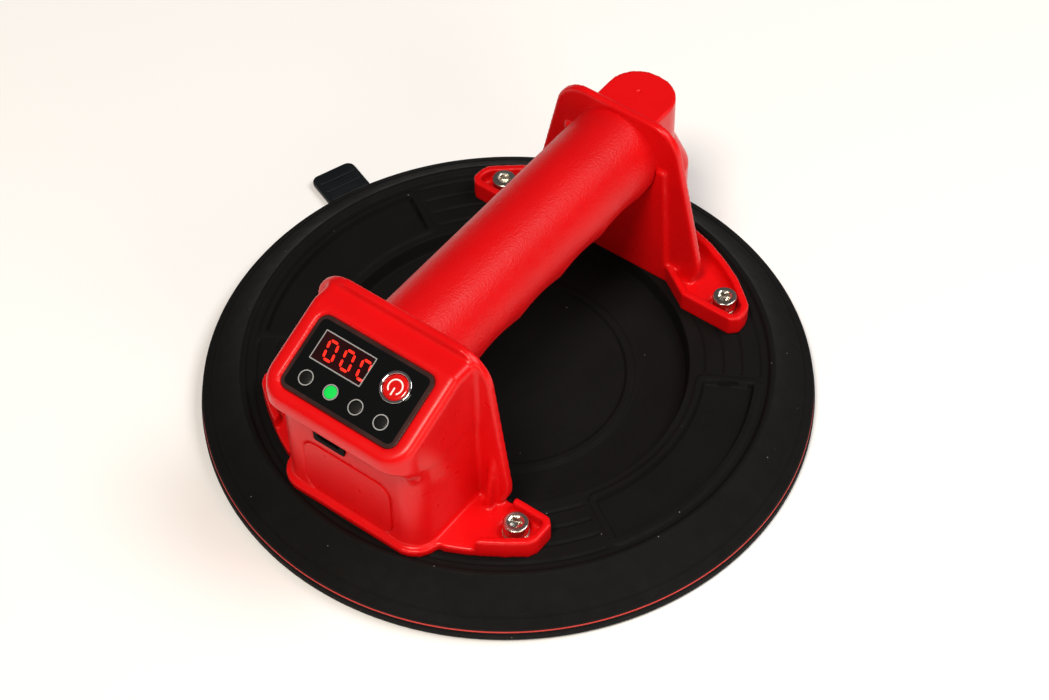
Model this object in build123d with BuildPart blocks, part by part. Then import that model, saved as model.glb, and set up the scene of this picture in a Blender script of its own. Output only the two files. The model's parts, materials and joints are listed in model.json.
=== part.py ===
from build123d import *
import os
from math import cos, degrees, radians, sin, tan

# Battery-powered vacuum lifting cup: a round rubber pad, two moulded brackets and a
# hollow grip between them. Millimetres, +Z up. The origin is the middle of the pad in
# the plane of its sealing lip, the grip runs along Y and the control head is at -Y.

os.makedirs("parts", exist_ok=True)

# ---------------------------------------------------------------- driving dimensions
FIT = 0.1  # side clearance of a piece dropped into its pocket
RUN = 0.05  # radial clearance of a shaft in its bush, or a screw in its hole
WALL = 2.3  # moulded wall of the housings

# pad
PAD_R = 105.0
LIP_PROUD = 0.5  # how far the lip reaches past the pad's side
LIP_HEIGHT = 4.2
LIP_WIDTH = 12.0
BAND_HEIGHT = 0.8
BAND_PROUD = 0.1
SKIRT_EDGE = 1.5
PLATE_R = 88.0
PLATE_GAP = 4.6  # depth of the suction cavity under the plate
PLATE_T = 2.0
CENTRE_Z = 7.8
CENTRE_R = 40.5
RING_WIDTH = 3.0
RING_HEIGHT = 0.9
DISH_R = 60.5
DISH_Z = 9.0
DECK_Z = 15.0
DECK_R = 62.0
RIDGE_R = 90.2
RIDGE_HEIGHT = 1.3
RIDGE_WIDTH = 1.8
POCKET_IN = 64.5
POCKET_OUT = 86.8
POCKET_HALF = 30.0
POCKET_RIM = 2.6
POCKET_PROUD = 0.5
POCKET_DEPTH = 1.5
STEP_FIRST = 66.5
STEP_PITCH = 6.3
STEP_COUNT = 4
STEP_WIDTH = 1.0
STEP_DEPTH = 0.6

# release tab
TAB_ANGLE = 160.0
TAB_LENGTH = 16.4
TAB_WIDTH = 17.5
TAB_T = 2.6
TAB_Z = 0.8
TAB_GAP = 0.3
TAB_CORNER = 2.5
TAB_GROOVES = 3
TAB_GROOVE_PITCH = 4.5
TAB_GROOVE_FIRST = 2.9  # from the tab's root to the middle of the first groove
TAB_GROOVE_WIDTH = 1.2
TAB_GROOVE_DEPTH = 0.7

# bracket screws, M5 socket cap with washers, and their standoffs on the plate
SCREW_X = 47.6
SCREW_NEAR_Y = -58.3
SCREW_FAR_Y = 61.0
M5_R = 2.5
M5_HEAD_R = 4.25
M5_HEAD_H = 5.0
M5_LENGTH = 10.0
M5_KEY = 4.0
M5_KEY_DEPTH = 2.6
M5_CHAMFER = 0.35
WASHER_R = 4.5
WASHER_T = 1.0
STANDOFF_R = 5.0

# trays of both brackets
TRAY_T = 3.5
SEAT_T = 2.3  # floor left under a washer, in its counterbore
COUNTERBORE_R = 5.2
TRAY_RIM = 2.6
TRAY_HEIGHT = 8.0
FLANGE_T = 3.0

# front bracket with the control head
NEAR_Y = -50.0  # handle side of the front flange
NEAR_FOOT_X = 57.4
NEAR_FLANGE_FOOT = 42.6
NEAR_FLANGE_TOP = 32.7
NEAR_FLANGE_Z = 85.4
NEAR_FLANGE_CORNER = 13.0
NEAR_RIM_START = 41.6  # the near foot's raised rim starts this far from the middle
HEAD_HALF = 28.8
HEAD_FRONT = 33.9  # from the flange's handle side to the front face
HEAD_CORNER = 8.0
HEAD_LIP_Z = 61.0
ROOF_Z = 83.2  # the head's top is level from here back to the flange
BEZEL_HALF = 29.0
BEZEL_PROUD = 7.2
BEZEL_CORNER = 9.5
BEZEL_LIP = 5.5
BEZEL_ROUND = 3.0
BEZEL_UNDER_ROUND = 1.5
BASE_PROUD = 2.1
BASE_HEIGHT = 3.0
RIB_X = 34.5
RIB_T = 2.2
RIB_TOP = 42.0
RIB_FOOT = 4.0

# control panel, a plane tilted towards the user
TILT = 26.0
PANEL_Y = -75.15
PANEL_Z = 76.2
PANEL_W = 45.8
PANEL_H = 27.0
PANEL_CORNER = 3.5
WINDOW_T = 1.2
OVERLAY_T = 0.25
WINDOW_SUNK = 0.3
LEDGE = 2.2
BUTTON_U, BUTTON_V = 12.5, 4.3
BUTTON_R = 4.3
RING_R = 5.3
BUTTON_PROUD = 0.2
CAP_T = 2.4
RING_SUNK = 5.2  # height of the ring below the panel's face
RING_PROUD = 0.5
SWITCH_SIDE = 6.0
SWITCH_BODY = 2.2
SWITCH_FLOOR = 1.2
SWITCH_TOP = 3.2  # top of the plunger above the board
PLUNGER_STEM_R = 1.5
PLUNGER_STEM_L = 1.3
LED_U = (-15.2, -5.2, 4.6, 14.5)
LED_V = -7.2
LED_R = 2.0
DISPLAY_U, DISPLAY_V = -8.0, 4.0
DISPLAY_W, DISPLAY_H = 20.0, 12.0
BOARD_DEPTH = 7.4
BOARD_T = 1.6
BOARD_W, BOARD_H = 45.0, 22.0
BOARD_SCREW_U, BOARD_SCREW_V = 20.4, 8.9
PILLAR_R = 2.0
BOARD_SCREW_R = 0.85

# access cover and charge port in the front face
COVER_W = 35.0
COVER_TOP = 43.3
COVER_BOTTOM = 19.0
COVER_T = 1.2
COVER_CORNER = 5.0
PORT_X, PORT_Z = -6.2, 50.6
PORT_W, PORT_H = 12.6, 5.6
PORT_T = 3.4
SOCKET_W, SOCKET_H, SOCKET_L = 8.94, 3.26, 7.3
SOCKET_WALL = 0.3
CHARGE_BOARD_L = 5.5
SOCKET_ROOM = 8.0

# grip
GRIP_R = 17.0
GRIP_WALL = 2.2
GRIP_Z = 65.3
FAR_Y = 62.0  # handle side of the rear flange
WALL_PAD_T = 1.5  # the flange's middle stands proud of it, flush with the foot
WALL_PAD_FOOT = 23.4
WALL_PAD_TOP = 20.6
WALL_PAD_Z = 66.5
GROOVE_PITCH = 22.3
GROOVE_COUNT = 4
GROOVE_DEPTH = 1.4
GROOVE_FIRST = -23.5
GROOVE_LAND = 2.0  # width of the crest left between two grooves
SPIGOT_L = 3.0
SPIGOT_T = 1.2
TIE_X, TIE_DZ = 6.5, 9.9
TIE_R = 1.5
TIE_HEAD_R = 2.6
TIE_HEAD_H = 2.0
TIE_LENGTH = 14.0
TIE_BOSS_R = 3.2
TIE_BOSS_L = 12.0
WIRE_HOLE_R = 4.5

# rear bracket
FAR_FOOT_X = 57.5
FAR_FLANGE_FOOT = 38.4
FAR_FLANGE_TOP = 22.9
FAR_FLANGE_Z = 84.4
FAR_FLANGE_CORNER = 12.0
COLUMN_HALF = 12.5
COLUMN_END = 25.0  # from the flange's handle side
COLUMN_TOP = 80.5
SOCKLE_HALF = 18.0
SOCKLE_END = 26.5
SOCKLE_CORNER = 12.0
SOCKLE_TOP = 52.0
SOCKLE_BLEND = 10.0

# pump and its motor, axis along X
PUMP_Y = -67.5
PUMP_Z = 32.0
MOTOR_R = 12.0
MOTOR_WALL = 1.0
MOTOR_LEFT = -24.5
MOTOR_L = 26.0
MAGNET_T = 1.6
ROTOR_R = 8.6
SHAFT_R = 1.0
BUSH_R = 2.6
BUSH_L = 2.0
HEAD_L = 15.0
HEAD_Y = 20.0
HEAD_BELOW = 10.0
HEAD_ABOVE = 11.0
CRANK_R = 3.0
CRANK_OFFSET = 1.0
CRANK_L = 5.0
DIAPHRAGM_T = 1.0
VALVE_COVER_T = 6.0
CRADLE_T = 2.5
CRADLE_BASE = 2.0

# hoses, nipples and the suction port
NIPPLE_R = 1.45
NIPPLE_BORE = 0.8
NIPPLE_L = 6.0
HOSE_R = 2.4
MANIFOLD_X = 21.2
MANIFOLD_W = 8.0
MANIFOLD_Z = 24.0
PORT_LINE_Y = (-60.0, -68.0, -76.0)
PORT_TUBE_R = 3.0
PORT_TUBE_BORE = 1.6
FILTER_T = 1.2
PUMP_NIPPLE_X = 8.0
HOSE_TOP = 60.0
VALVE_Z = 54.5
VALVE_L, VALVE_W = 15.0, 11.0
VALVE_LEFT = -24.0
PLUNGER_R = 2.0
PLUNGER_OUT = 5.0
PLUNGER_HEAD_R = 3.2
PLUNGER_HEAD_T = 1.2
PLUNGER_TRAVEL = 1.5
SEAT_L = 6.0
SEAT_R = 4.0
SENSOR_Z = 54.0
SENSOR_SIDE, SENSOR_H = 6.0, 4.0

# battery
CELL_R = 9.2
CELL_L = 65.2
CONTACT_T = 2.6
CRADLE_WALL = 1.6

# ---------------------------------------------------------------- derived places
LIP_R = PAD_R + LIP_PROUD
LIP_IN = LIP_R - LIP_WIDTH
BAND_TOP = LIP_HEIGHT + BAND_HEIGHT
PLATE_TOP = PLATE_GAP + PLATE_T
TRAY_TOP = DECK_Z + TRAY_T
FRONT_FACE = NEAR_Y - HEAD_FRONT
FLANGE_BACK = NEAR_Y - FLANGE_T
COLUMN_START = FAR_Y + FLANGE_T
GRIP_L = FAR_Y - NEAR_Y
GRIP_MID = (FAR_Y + NEAR_Y) / 2
GRIP_BORE = GRIP_R - GRIP_WALL
TIE_SPOTS = [(-TIE_X, GRIP_Z + TIE_DZ), (TIE_X, GRIP_Z - TIE_DZ)]
SCREW_SPOTS = [(x, y) for y in (SCREW_NEAR_Y, SCREW_FAR_Y) for x in (-SCREW_X, SCREW_X)]
SEAT_Z = DECK_Z + SEAT_T
SCREW_SEAT = SEAT_Z + WASHER_T
PANEL = Plane(origin=(0, PANEL_Y, PANEL_Z), x_dir=(1, 0, 0),
              z_dir=(0, -sin(radians(TILT)), cos(radians(TILT))))
INNER_FRONT = FRONT_FACE + WALL
INNER_HALF = HEAD_HALF - WALL
FLOOR_TOP = DECK_Z + WALL
BOARD_TOP = -BOARD_DEPTH
BOARD_SPOTS = [(u, v) for u in (-BOARD_SCREW_U, BOARD_SCREW_U)
               for v in (-BOARD_SCREW_V, BOARD_SCREW_V)]
MOTOR_RIGHT = MOTOR_LEFT + MOTOR_L
HEAD_LEFT = MOTOR_RIGHT
DIAPHRAGM_Z = PUMP_Z + HEAD_ABOVE
COVER_Z = DIAPHRAGM_Z + DIAPHRAGM_T


def slope(y, drop=0.0):
    """Height of the head's sloping top at y, measured drop below its surface."""
    return PANEL_Z + (y - PANEL_Y) * tan(radians(TILT)) - drop / cos(radians(TILT))


def roof_edge(drop=0.0):
    """Y where the slope meets the level roof, both measured drop below their surface."""
    rise = ROOF_Z - drop - PANEL_Z + drop / cos(radians(TILT))
    return PANEL_Y + rise / tan(radians(TILT))


def polar(radius, angle):
    """Point at a radius and an angle in degrees about the pad's axis."""
    return (radius * cos(radians(angle)), radius * sin(radians(angle)))


def ring_sector(inner, outer, middle, half):
    """Add a sector of a ring to the open sketch."""
    start, end = middle - half, middle + half
    with BuildLine() as outline:
        ThreePointArc(polar(outer, start), polar(outer, middle), polar(outer, end))
        Line(polar(outer, end), polar(inner, end))
        ThreePointArc(polar(inner, end), polar(inner, middle), polar(inner, start))
        Line(polar(inner, start), polar(outer, start))
    make_face(outline.edges())


def mirrored_outline(points):
    """Add the area between a right-hand outline, from X 0 to X 0, and its mirror image."""
    with BuildLine() as outline:
        Polyline(*points, *[(-x, y) for x, y in reversed(points[1:-1])], close=True)
    make_face(outline.edges())


def head_plan(half, front, corner, back):
    """Add the head's outline in plan, rounded at its two front corners."""
    with BuildLine() as outline:
        Polyline((half, back), (half, front), (-half, front), (-half, back), close=True)
    made = make_face(outline.edges())
    fillet(made.vertices().group_by(Axis.Y)[0], corner)


def column_plan(half, end, corner):
    """Add the rear column's outline in plan, rounded at its two far corners."""
    with BuildLine() as outline:
        Polyline((half, COLUMN_START - 1), (half, end), (-half, end),
                 (-half, COLUMN_START - 1), close=True)
    made = make_face(outline.edges())
    fillet(made.vertices().group_by(Axis.Y)[-1], corner)


def save(part, name):
    """Label a finished piece and write it to its own file."""
    part.label = name
    export_step(part, f"parts/{name}.step")


# ================================================================ pad
with BuildPart() as pad_body:
    with BuildSketch(Plane.XZ):
        with BuildLine():
            Polyline(
                (0, PLATE_TOP), (0, CENTRE_Z), (CENTRE_R, CENTRE_Z),
                (CENTRE_R + 0.4, CENTRE_Z + RING_HEIGHT),
                (CENTRE_R + RING_WIDTH, CENTRE_Z + RING_HEIGHT),
                (CENTRE_R + RING_WIDTH + 0.6, CENTRE_Z), (DISH_R, DISH_Z),
                (DECK_R, DECK_Z), (RIDGE_R - RIDGE_WIDTH / 2 - 0.4, DECK_Z),
                (RIDGE_R - RIDGE_WIDTH / 2, DECK_Z + RIDGE_HEIGHT),
                (RIDGE_R + RIDGE_WIDTH / 2, DECK_Z + RIDGE_HEIGHT),
            )
            ThreePointArc(
                (RIDGE_R + RIDGE_WIDTH / 2, DECK_Z + RIDGE_HEIGHT),
                ((RIDGE_R + PAD_R) / 2 - 2.4, (DECK_Z + BAND_TOP) / 2 + 1.6),
                (PAD_R - 0.7, BAND_TOP + SKIRT_EDGE + 0.4),
            )
            Polyline(
                (PAD_R - 0.7, BAND_TOP + SKIRT_EDGE + 0.4), (PAD_R, BAND_TOP + SKIRT_EDGE),
                (PAD_R, BAND_TOP), (PLATE_R + FIT, BAND_TOP), (PLATE_R + FIT, PLATE_TOP),
                (0, PLATE_TOP),
            )
        make_face()
    revolve(axis=Axis.Z)
    # raised rim and sunk floor of the two side pockets
    with BuildSketch(Plane.XY.offset(DECK_Z)) as rims:
        for middle in (0, 180):
            ring_sector(POCKET_IN, POCKET_OUT, middle, POCKET_HALF)
    extrude(amount=POCKET_PROUD)
    with BuildSketch(Plane.XY.offset(DECK_Z + POCKET_PROUD)) as floors:
        inset = degrees(POCKET_RIM / POCKET_IN)
        for middle in (0, 180):
            ring_sector(POCKET_IN + POCKET_RIM, POCKET_OUT - POCKET_RIM, middle,
                        POCKET_HALF - inset)
        fillet(floors.vertices(), POCKET_RIM)
    extrude(amount=-POCKET_PROUD - POCKET_DEPTH, mode=Mode.SUBTRACT)
    # concentric grooves under the brackets
    with BuildSketch(Plane.XY.offset(DECK_Z)):
        for middle in (90, 270):
            for number in range(STEP_COUNT):
                radius = STEP_FIRST + number * STEP_PITCH
                ring_sector(radius, radius + STEP_WIDTH, middle, 90 - POCKET_HALF - 1)
    extrude(amount=-STEP_DEPTH, mode=Mode.SUBTRACT)
    # holes for the standoffs and for the suction port
    with BuildSketch(Plane.XY.offset(PLATE_TOP)):
        with Locations(*SCREW_SPOTS):
            Circle(STANDOFF_R + FIT)
        with Locations((MANIFOLD_X, PORT_LINE_Y[0])):
            Circle(PORT_TUBE_R + FIT)
    extrude(amount=DECK_Z, mode=Mode.SUBTRACT)
save(pad_body.part, "pad_body")

with BuildPart() as indicator_band:
    with BuildSketch(Plane.XY.offset(LIP_HEIGHT)):
        Circle(PAD_R + BAND_PROUD)
        Circle(LIP_IN, mode=Mode.SUBTRACT)
    extrude(amount=BAND_HEIGHT)
save(indicator_band.part, "indicator_band")

with BuildPart() as seal_lip:
    with BuildSketch(Plane.XZ):
        with BuildLine():
            Polyline(
                (LIP_IN, LIP_HEIGHT), (LIP_IN + 2.5, 0), (LIP_R - 1.0, 0), (LIP_R, 1.0),
                (LIP_R, LIP_HEIGHT - 0.5), (LIP_R - 0.5, LIP_HEIGHT), close=True,
            )
        make_face()
    revolve(axis=Axis.Z)
save(seal_lip.part, "seal_lip")

with BuildPart() as backing_plate:
    with BuildSketch(Plane.XY.offset(PLATE_GAP)):
        Circle(PLATE_R)
        with Locations((MANIFOLD_X, PORT_LINE_Y[0])):
            Circle(PORT_TUBE_R + FIT, mode=Mode.SUBTRACT)
    extrude(amount=PLATE_T)
save(backing_plate.part, "backing_plate")

with BuildPart() as plate_standoffs:
    with BuildSketch(Plane.XY.offset(PLATE_TOP)):
        with Locations(*SCREW_SPOTS):
            Circle(STANDOFF_R)
            Circle(M5_R + RUN, mode=Mode.SUBTRACT)
    extrude(amount=DECK_Z - PLATE_TOP)
save(plate_standoffs.part, "plate_standoffs")

tab_root = LIP_R + TAB_GAP
tab_top = TAB_Z + TAB_T
with BuildPart() as release_tab:
    with BuildSketch(Plane.XY.offset(TAB_Z)) as tab_outline:
        with Locations((tab_root + TAB_LENGTH / 2, 0)):
            Rectangle(TAB_LENGTH, TAB_WIDTH)
        fillet(tab_outline.vertices().group_by(Axis.X)[-1], TAB_CORNER)
    extrude(amount=TAB_T)
    with BuildSketch(Plane.XY.offset(tab_top)):
        for number in range(TAB_GROOVES):
            with Locations((tab_root + TAB_GROOVE_FIRST + TAB_GROOVE_PITCH * number, 0)):
                Rectangle(TAB_GROOVE_WIDTH, TAB_WIDTH)
    extrude(amount=-TAB_GROOVE_DEPTH, mode=Mode.SUBTRACT)
save(release_tab.part.rotate(Axis.Z, TAB_ANGLE), "release_tab")

# ================================================================ bracket screws
with BuildPart() as bracket_screws:
    with BuildSketch(Plane.XY.offset(SCREW_SEAT)):
        with Locations(*SCREW_SPOTS):
            Circle(M5_HEAD_R)
    extrude(amount=M5_HEAD_H)
    chamfer(bracket_screws.faces().group_by(Axis.Z)[-1].edges(), M5_CHAMFER)
    with BuildSketch(Plane.XY.offset(SCREW_SEAT)):
        with Locations(*SCREW_SPOTS):
            Circle(M5_R)
    extrude(amount=-M5_LENGTH)
    with BuildSketch(Plane.XY.offset(SCREW_SEAT + M5_HEAD_H)):
        with Locations(*SCREW_SPOTS):
            RegularPolygon(M5_KEY / 2, 6, major_radius=False)
    extrude(amount=-M5_KEY_DEPTH, mode=Mode.SUBTRACT)
save(bracket_screws.part, "bracket_screws")

with BuildPart() as bracket_washers:
    with BuildSketch(Plane.XY.offset(SEAT_Z)):
        with Locations(*SCREW_SPOTS):
            Circle(WASHER_R)
            Circle(M5_R + FIT, mode=Mode.SUBTRACT)
    extrude(amount=WASHER_T)
save(bracket_washers.part, "bracket_washers")

# ================================================================ front bracket
near_tray = [
    (0, NEAR_Y), (NEAR_FOOT_X - 2.6, NEAR_Y), (NEAR_FOOT_X, NEAR_Y - 2.4),
    (NEAR_FOOT_X, NEAR_Y - 9.6), (NEAR_FOOT_X - 1.6, NEAR_Y - 12.6),
    (NEAR_FOOT_X - 7.6, NEAR_Y - 17.2), (NEAR_FOOT_X - 13.4, NEAR_Y - 21.0),
    (NEAR_FOOT_X - 18.9, NEAR_Y - 24.2), (HEAD_HALF + 4, NEAR_Y - 26.9), (0, NEAR_Y - 27.4),
]
with BuildPart() as front_bracket:
    with BuildSketch(Plane.XY.offset(DECK_Z)):
        mirrored_outline(near_tray)
    extrude(amount=TRAY_T)
    # raised rims of the two feet
    with BuildSketch(Plane.XY.offset(DECK_Z)) as near_rim:
        mirrored_outline(near_tray)
        offset(amount=-TRAY_RIM, mode=Mode.SUBTRACT)
        Rectangle(2 * NEAR_RIM_START, 4 * PAD_R, mode=Mode.SUBTRACT)
    extrude(amount=TRAY_HEIGHT)
    # flange that carries the grip
    with BuildSketch(Plane.XZ.offset(-NEAR_Y)) as near_flange:
        with BuildLine():
            Polyline((-NEAR_FLANGE_FOOT, DECK_Z), (NEAR_FLANGE_FOOT, DECK_Z),
                     (NEAR_FLANGE_TOP, NEAR_FLANGE_Z), (-NEAR_FLANGE_TOP, NEAR_FLANGE_Z),
                     close=True)
        make_face()
        fillet(near_flange.vertices().group_by(Axis.Z)[-1], NEAR_FLANGE_CORNER)
    extrude(amount=FLANGE_T)
    # head: proud base, upright walls and the overhanging sloped bezel
    with BuildSketch(Plane.XY.offset(DECK_Z)):
        head_plan(HEAD_HALF + BASE_PROUD, FRONT_FACE - BASE_PROUD, HEAD_CORNER + 2,
                  FLANGE_BACK)
    extrude(amount=BASE_HEIGHT)
    with BuildSketch(Plane.XY.offset(DECK_Z)):
        head_plan(HEAD_HALF, FRONT_FACE, HEAD_CORNER, FLANGE_BACK)
    extrude(amount=HEAD_LIP_Z - DECK_Z)
    bezel_tip = FRONT_FACE - BEZEL_PROUD
    under_front, under_back = HEAD_LIP_Z - 1.5, HEAD_LIP_Z - 6
    with BuildPart(mode=Mode.PRIVATE) as bezel:
        with BuildSketch(Plane.YZ) as bezel_side:
            with BuildLine():
                Polyline((NEAR_Y - 1, under_back), (NEAR_Y - 1, ROOF_Z), (roof_edge(), ROOF_Z),
                         (bezel_tip, slope(bezel_tip)), (bezel_tip, slope(bezel_tip) - BEZEL_LIP),
                         (FRONT_FACE, under_front), (FRONT_FACE + 8, under_back), close=True)
            make_face()
            fillet(bezel_side.vertices().group_by(Axis.Y)[0].sort_by(Axis.Z)[0],
                   BEZEL_UNDER_ROUND)
        extrude(amount=BEZEL_HALF, both=True)
        with BuildSketch(Plane.XY):
            head_plan(BEZEL_HALF, bezel_tip, BEZEL_CORNER, NEAR_Y - 1)
        extrude(amount=2 * PANEL_Z, mode=Mode.INTERSECT)
        upper = [face for face in bezel.faces() if face.normal_at().Z > 0.8]
        rims = [edge for face in upper for edge in face.edges()
                if abs((edge @ 0.5).X) > 1 or (edge @ 0.5).Y < PANEL_Y]
        fillet(rims, BEZEL_ROUND)
    add(bezel.part)
    # gusset ribs between the flange and the feet
    for side in (-1, 1):
        with BuildSketch(Plane.YZ.offset(side * RIB_X)):
            with BuildLine():
                Polyline((FLANGE_BACK, DECK_Z), (FLANGE_BACK - RIB_FOOT, DECK_Z),
                         (FLANGE_BACK - RIB_FOOT, TRAY_TOP), (FLANGE_BACK, RIB_TOP), close=True)
            make_face()
        extrude(amount=RIB_T / 2, both=True)
    # hollow inside
    with BuildSketch(Plane.XY.offset(DECK_Z)):
        head_plan(INNER_HALF, INNER_FRONT, HEAD_CORNER - WALL, FLANGE_BACK)
    extrude(amount=HEAD_LIP_Z - DECK_Z, mode=Mode.SUBTRACT)
    with BuildPart(mode=Mode.PRIVATE) as bezel_core:
        core_tip = bezel_tip + WALL
        with BuildSketch(Plane.YZ):
            with BuildLine():
                Polyline((FLANGE_BACK, HEAD_LIP_Z - 4), (FLANGE_BACK, ROOF_Z - WALL),
                         (roof_edge(WALL), ROOF_Z - WALL), (core_tip, slope(core_tip, WALL)),
                         (core_tip, HEAD_LIP_Z + 3),
                         (INNER_FRONT, HEAD_LIP_Z), (INNER_FRONT, HEAD_LIP_Z - 4), close=True)
            make_face()
        extrude(amount=INNER_HALF, both=True)
        with BuildSketch(Plane.XY):
            head_plan(INNER_HALF, core_tip, BEZEL_CORNER - WALL, FLANGE_BACK)
        extrude(amount=2 * PANEL_Z, mode=Mode.INTERSECT)
    add(bezel_core.part, mode=Mode.SUBTRACT)
    # panel recess, its opening and the pillars that carry the board
    with BuildSketch(PANEL.offset(-WALL)):
        with Locations(*BOARD_SPOTS):
            Circle(PILLAR_R)
    extrude(amount=-(BOARD_DEPTH - WALL))
    with BuildSketch(PANEL):
        RectangleRounded(PANEL_W + 2 * FIT, PANEL_H + 2 * FIT, PANEL_CORNER + FIT)
    extrude(amount=-WINDOW_T - OVERLAY_T - WINDOW_SUNK, mode=Mode.SUBTRACT)
    with BuildSketch(PANEL):
        RectangleRounded(2 * (BOARD_SCREW_U - PILLAR_R - FIT), PANEL_H - 2 * LEDGE, 1.0)
    extrude(amount=-WALL - 1, mode=Mode.SUBTRACT)
    with BuildSketch(PANEL.offset(-BOARD_DEPTH)):
        with Locations(*BOARD_SPOTS):
            Circle(BOARD_SCREW_R + RUN)
    extrude(amount=BOARD_DEPTH - 2.5, mode=Mode.SUBTRACT)
    # access opening and charge port in the front face
    front_plane = Plane.XZ.offset(-FRONT_FACE)
    with BuildSketch(front_plane):
        with Locations((0, (COVER_TOP + COVER_BOTTOM) / 2)):
            RectangleRounded(COVER_W, COVER_TOP - COVER_BOTTOM, COVER_CORNER)
    extrude(amount=-COVER_T, mode=Mode.SUBTRACT)
    with BuildSketch(front_plane):
        with Locations((0, (COVER_TOP + COVER_BOTTOM) / 2)):
            RectangleRounded(COVER_W - 6, COVER_TOP - COVER_BOTTOM - 6, 2)
    extrude(amount=-WALL, mode=Mode.SUBTRACT)
    with BuildSketch(front_plane):
        with Locations((PORT_X, PORT_Z)):
            RectangleRounded(PORT_W, PORT_H, 0.8)
    extrude(amount=-WALL, mode=Mode.SUBTRACT)
    # holes through the flange for the wires and the tie screws
    with BuildSketch(Plane.XZ.offset(-NEAR_Y)):
        with Locations((0, GRIP_Z)):
            Circle(WIRE_HOLE_R)
        with Locations(*TIE_SPOTS):
            Circle(TIE_R + FIT)
    extrude(amount=FLANGE_T, mode=Mode.SUBTRACT)
    # locating spigot for the grip
    with BuildSketch(Plane.XZ.offset(-NEAR_Y)):
        with Locations((0, GRIP_Z)):
            Circle(GRIP_BORE - FIT)
            Circle(GRIP_BORE - FIT - SPIGOT_T, mode=Mode.SUBTRACT)
    extrude(amount=-SPIGOT_L)
    with BuildSketch(Plane.XY.offset(DECK_Z)):
        with Locations((-SCREW_X, SCREW_NEAR_Y), (SCREW_X, SCREW_NEAR_Y)):
            Circle(M5_R + 2 * FIT)
    extrude(amount=SEAT_T, mode=Mode.SUBTRACT)
    with BuildSketch(Plane.XY.offset(SEAT_Z)):
        with Locations((-SCREW_X, SCREW_NEAR_Y), (SCREW_X, SCREW_NEAR_Y)):
            Circle(COUNTERBORE_R)
    extrude(amount=TRAY_T - SEAT_T, mode=Mode.SUBTRACT)
save(front_bracket.part, "front_bracket")

with BuildPart() as head_floor:
    with BuildSketch(Plane.XY.offset(DECK_Z)):
        head_plan(INNER_HALF - FIT, INNER_FRONT + FIT, HEAD_CORNER - WALL, FLANGE_BACK - FIT)
        with Locations((MANIFOLD_X, PORT_LINE_Y[0])):
            Circle(PORT_TUBE_R + FIT, mode=Mode.SUBTRACT)
    extrude(amount=WALL)
save(head_floor.part, "head_floor")

with BuildPart() as access_cover:
    with BuildSketch(front_plane):
        with Locations((0, (COVER_TOP + COVER_BOTTOM) / 2)):
            RectangleRounded(COVER_W - 2 * FIT, COVER_TOP - COVER_BOTTOM - 2 * FIT,
                             COVER_CORNER - FIT)
    extrude(amount=-COVER_T)
    # snap skirt that grips the opening's edge
    with BuildSketch(front_plane.offset(-COVER_T)):
        with Locations((0, (COVER_TOP + COVER_BOTTOM) / 2)):
            RectangleRounded(COVER_W - 6 - 2 * FIT, COVER_TOP - COVER_BOTTOM - 6 - 2 * FIT,
                             2 - FIT)
            RectangleRounded(COVER_W - 9, COVER_TOP - COVER_BOTTOM - 9, 1, mode=Mode.SUBTRACT)
    extrude(amount=-(WALL - COVER_T))
save(access_cover.part, "access_cover")

# ================================================================ control panel
with BuildPart() as panel_window:
    with BuildSketch(PANEL.offset(-WINDOW_SUNK)):
        RectangleRounded(PANEL_W, PANEL_H, PANEL_CORNER)
        with Locations((BUTTON_U, BUTTON_V)):
            Circle(RING_R + FIT, mode=Mode.SUBTRACT)
    extrude(amount=-WINDOW_T)
save(panel_window.part, "panel_window")

with BuildPart() as panel_overlay:
    with BuildSketch(PANEL.offset(-WINDOW_SUNK - WINDOW_T)):
        RectangleRounded(PANEL_W - 2 * LEDGE + 2, PANEL_H - 2 * LEDGE + 2, PANEL_CORNER - 1)
        with Locations((BUTTON_U, BUTTON_V)):
            Circle(RING_R + FIT, mode=Mode.SUBTRACT)
    extrude(amount=-OVERLAY_T)
save(panel_overlay.part, "panel_overlay")

with BuildPart() as button_ring:
    with BuildSketch(PANEL.offset(-RING_SUNK)):
        with Locations((BUTTON_U, BUTTON_V)):
            Circle(RING_R)
            Circle(BUTTON_R + FIT, mode=Mode.SUBTRACT)
    extrude(amount=RING_SUNK + RING_PROUD)
    fillet(button_ring.faces().sort_by(SortBy.AREA)[-1].edges().sort_by(Axis.Z)[-1:], 0.2)
save(button_ring.part, "button_ring")

switch_top = BOARD_TOP + SWITCH_TOP
with BuildPart() as power_button:
    with BuildSketch(PANEL.offset(BUTTON_PROUD)):
        with Locations((BUTTON_U, BUTTON_V)):
            Circle(BUTTON_R)
    extrude(amount=-CAP_T)
    with BuildSketch(PANEL.offset(BUTTON_PROUD - CAP_T)):
        with Locations((BUTTON_U, BUTTON_V)):
            Circle(PLUNGER_STEM_R)
    extrude(amount=switch_top + CAP_T - BUTTON_PROUD)
save(power_button.part, "power_button")

with BuildPart() as switch_plunger:
    with BuildSketch(PANEL.offset(switch_top)):
        with Locations((BUTTON_U, BUTTON_V)):
            Circle(PLUNGER_STEM_R)
    extrude(amount=-PLUNGER_STEM_L)
save(switch_plunger.part, "switch_plunger")

with BuildPart() as tact_switch:
    with BuildSketch(PANEL.offset(BOARD_TOP)):
        with Locations((BUTTON_U, BUTTON_V)):
            Rectangle(SWITCH_SIDE, SWITCH_SIDE)
            Circle(PLUNGER_STEM_R + RUN, mode=Mode.SUBTRACT)
    extrude(amount=SWITCH_BODY)
    with BuildSketch(PANEL.offset(BOARD_TOP)):
        with Locations((BUTTON_U, BUTTON_V)):
            Circle(PLUNGER_STEM_R + RUN)
    extrude(amount=SWITCH_FLOOR)
save(tact_switch.part, "tact_switch")

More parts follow.
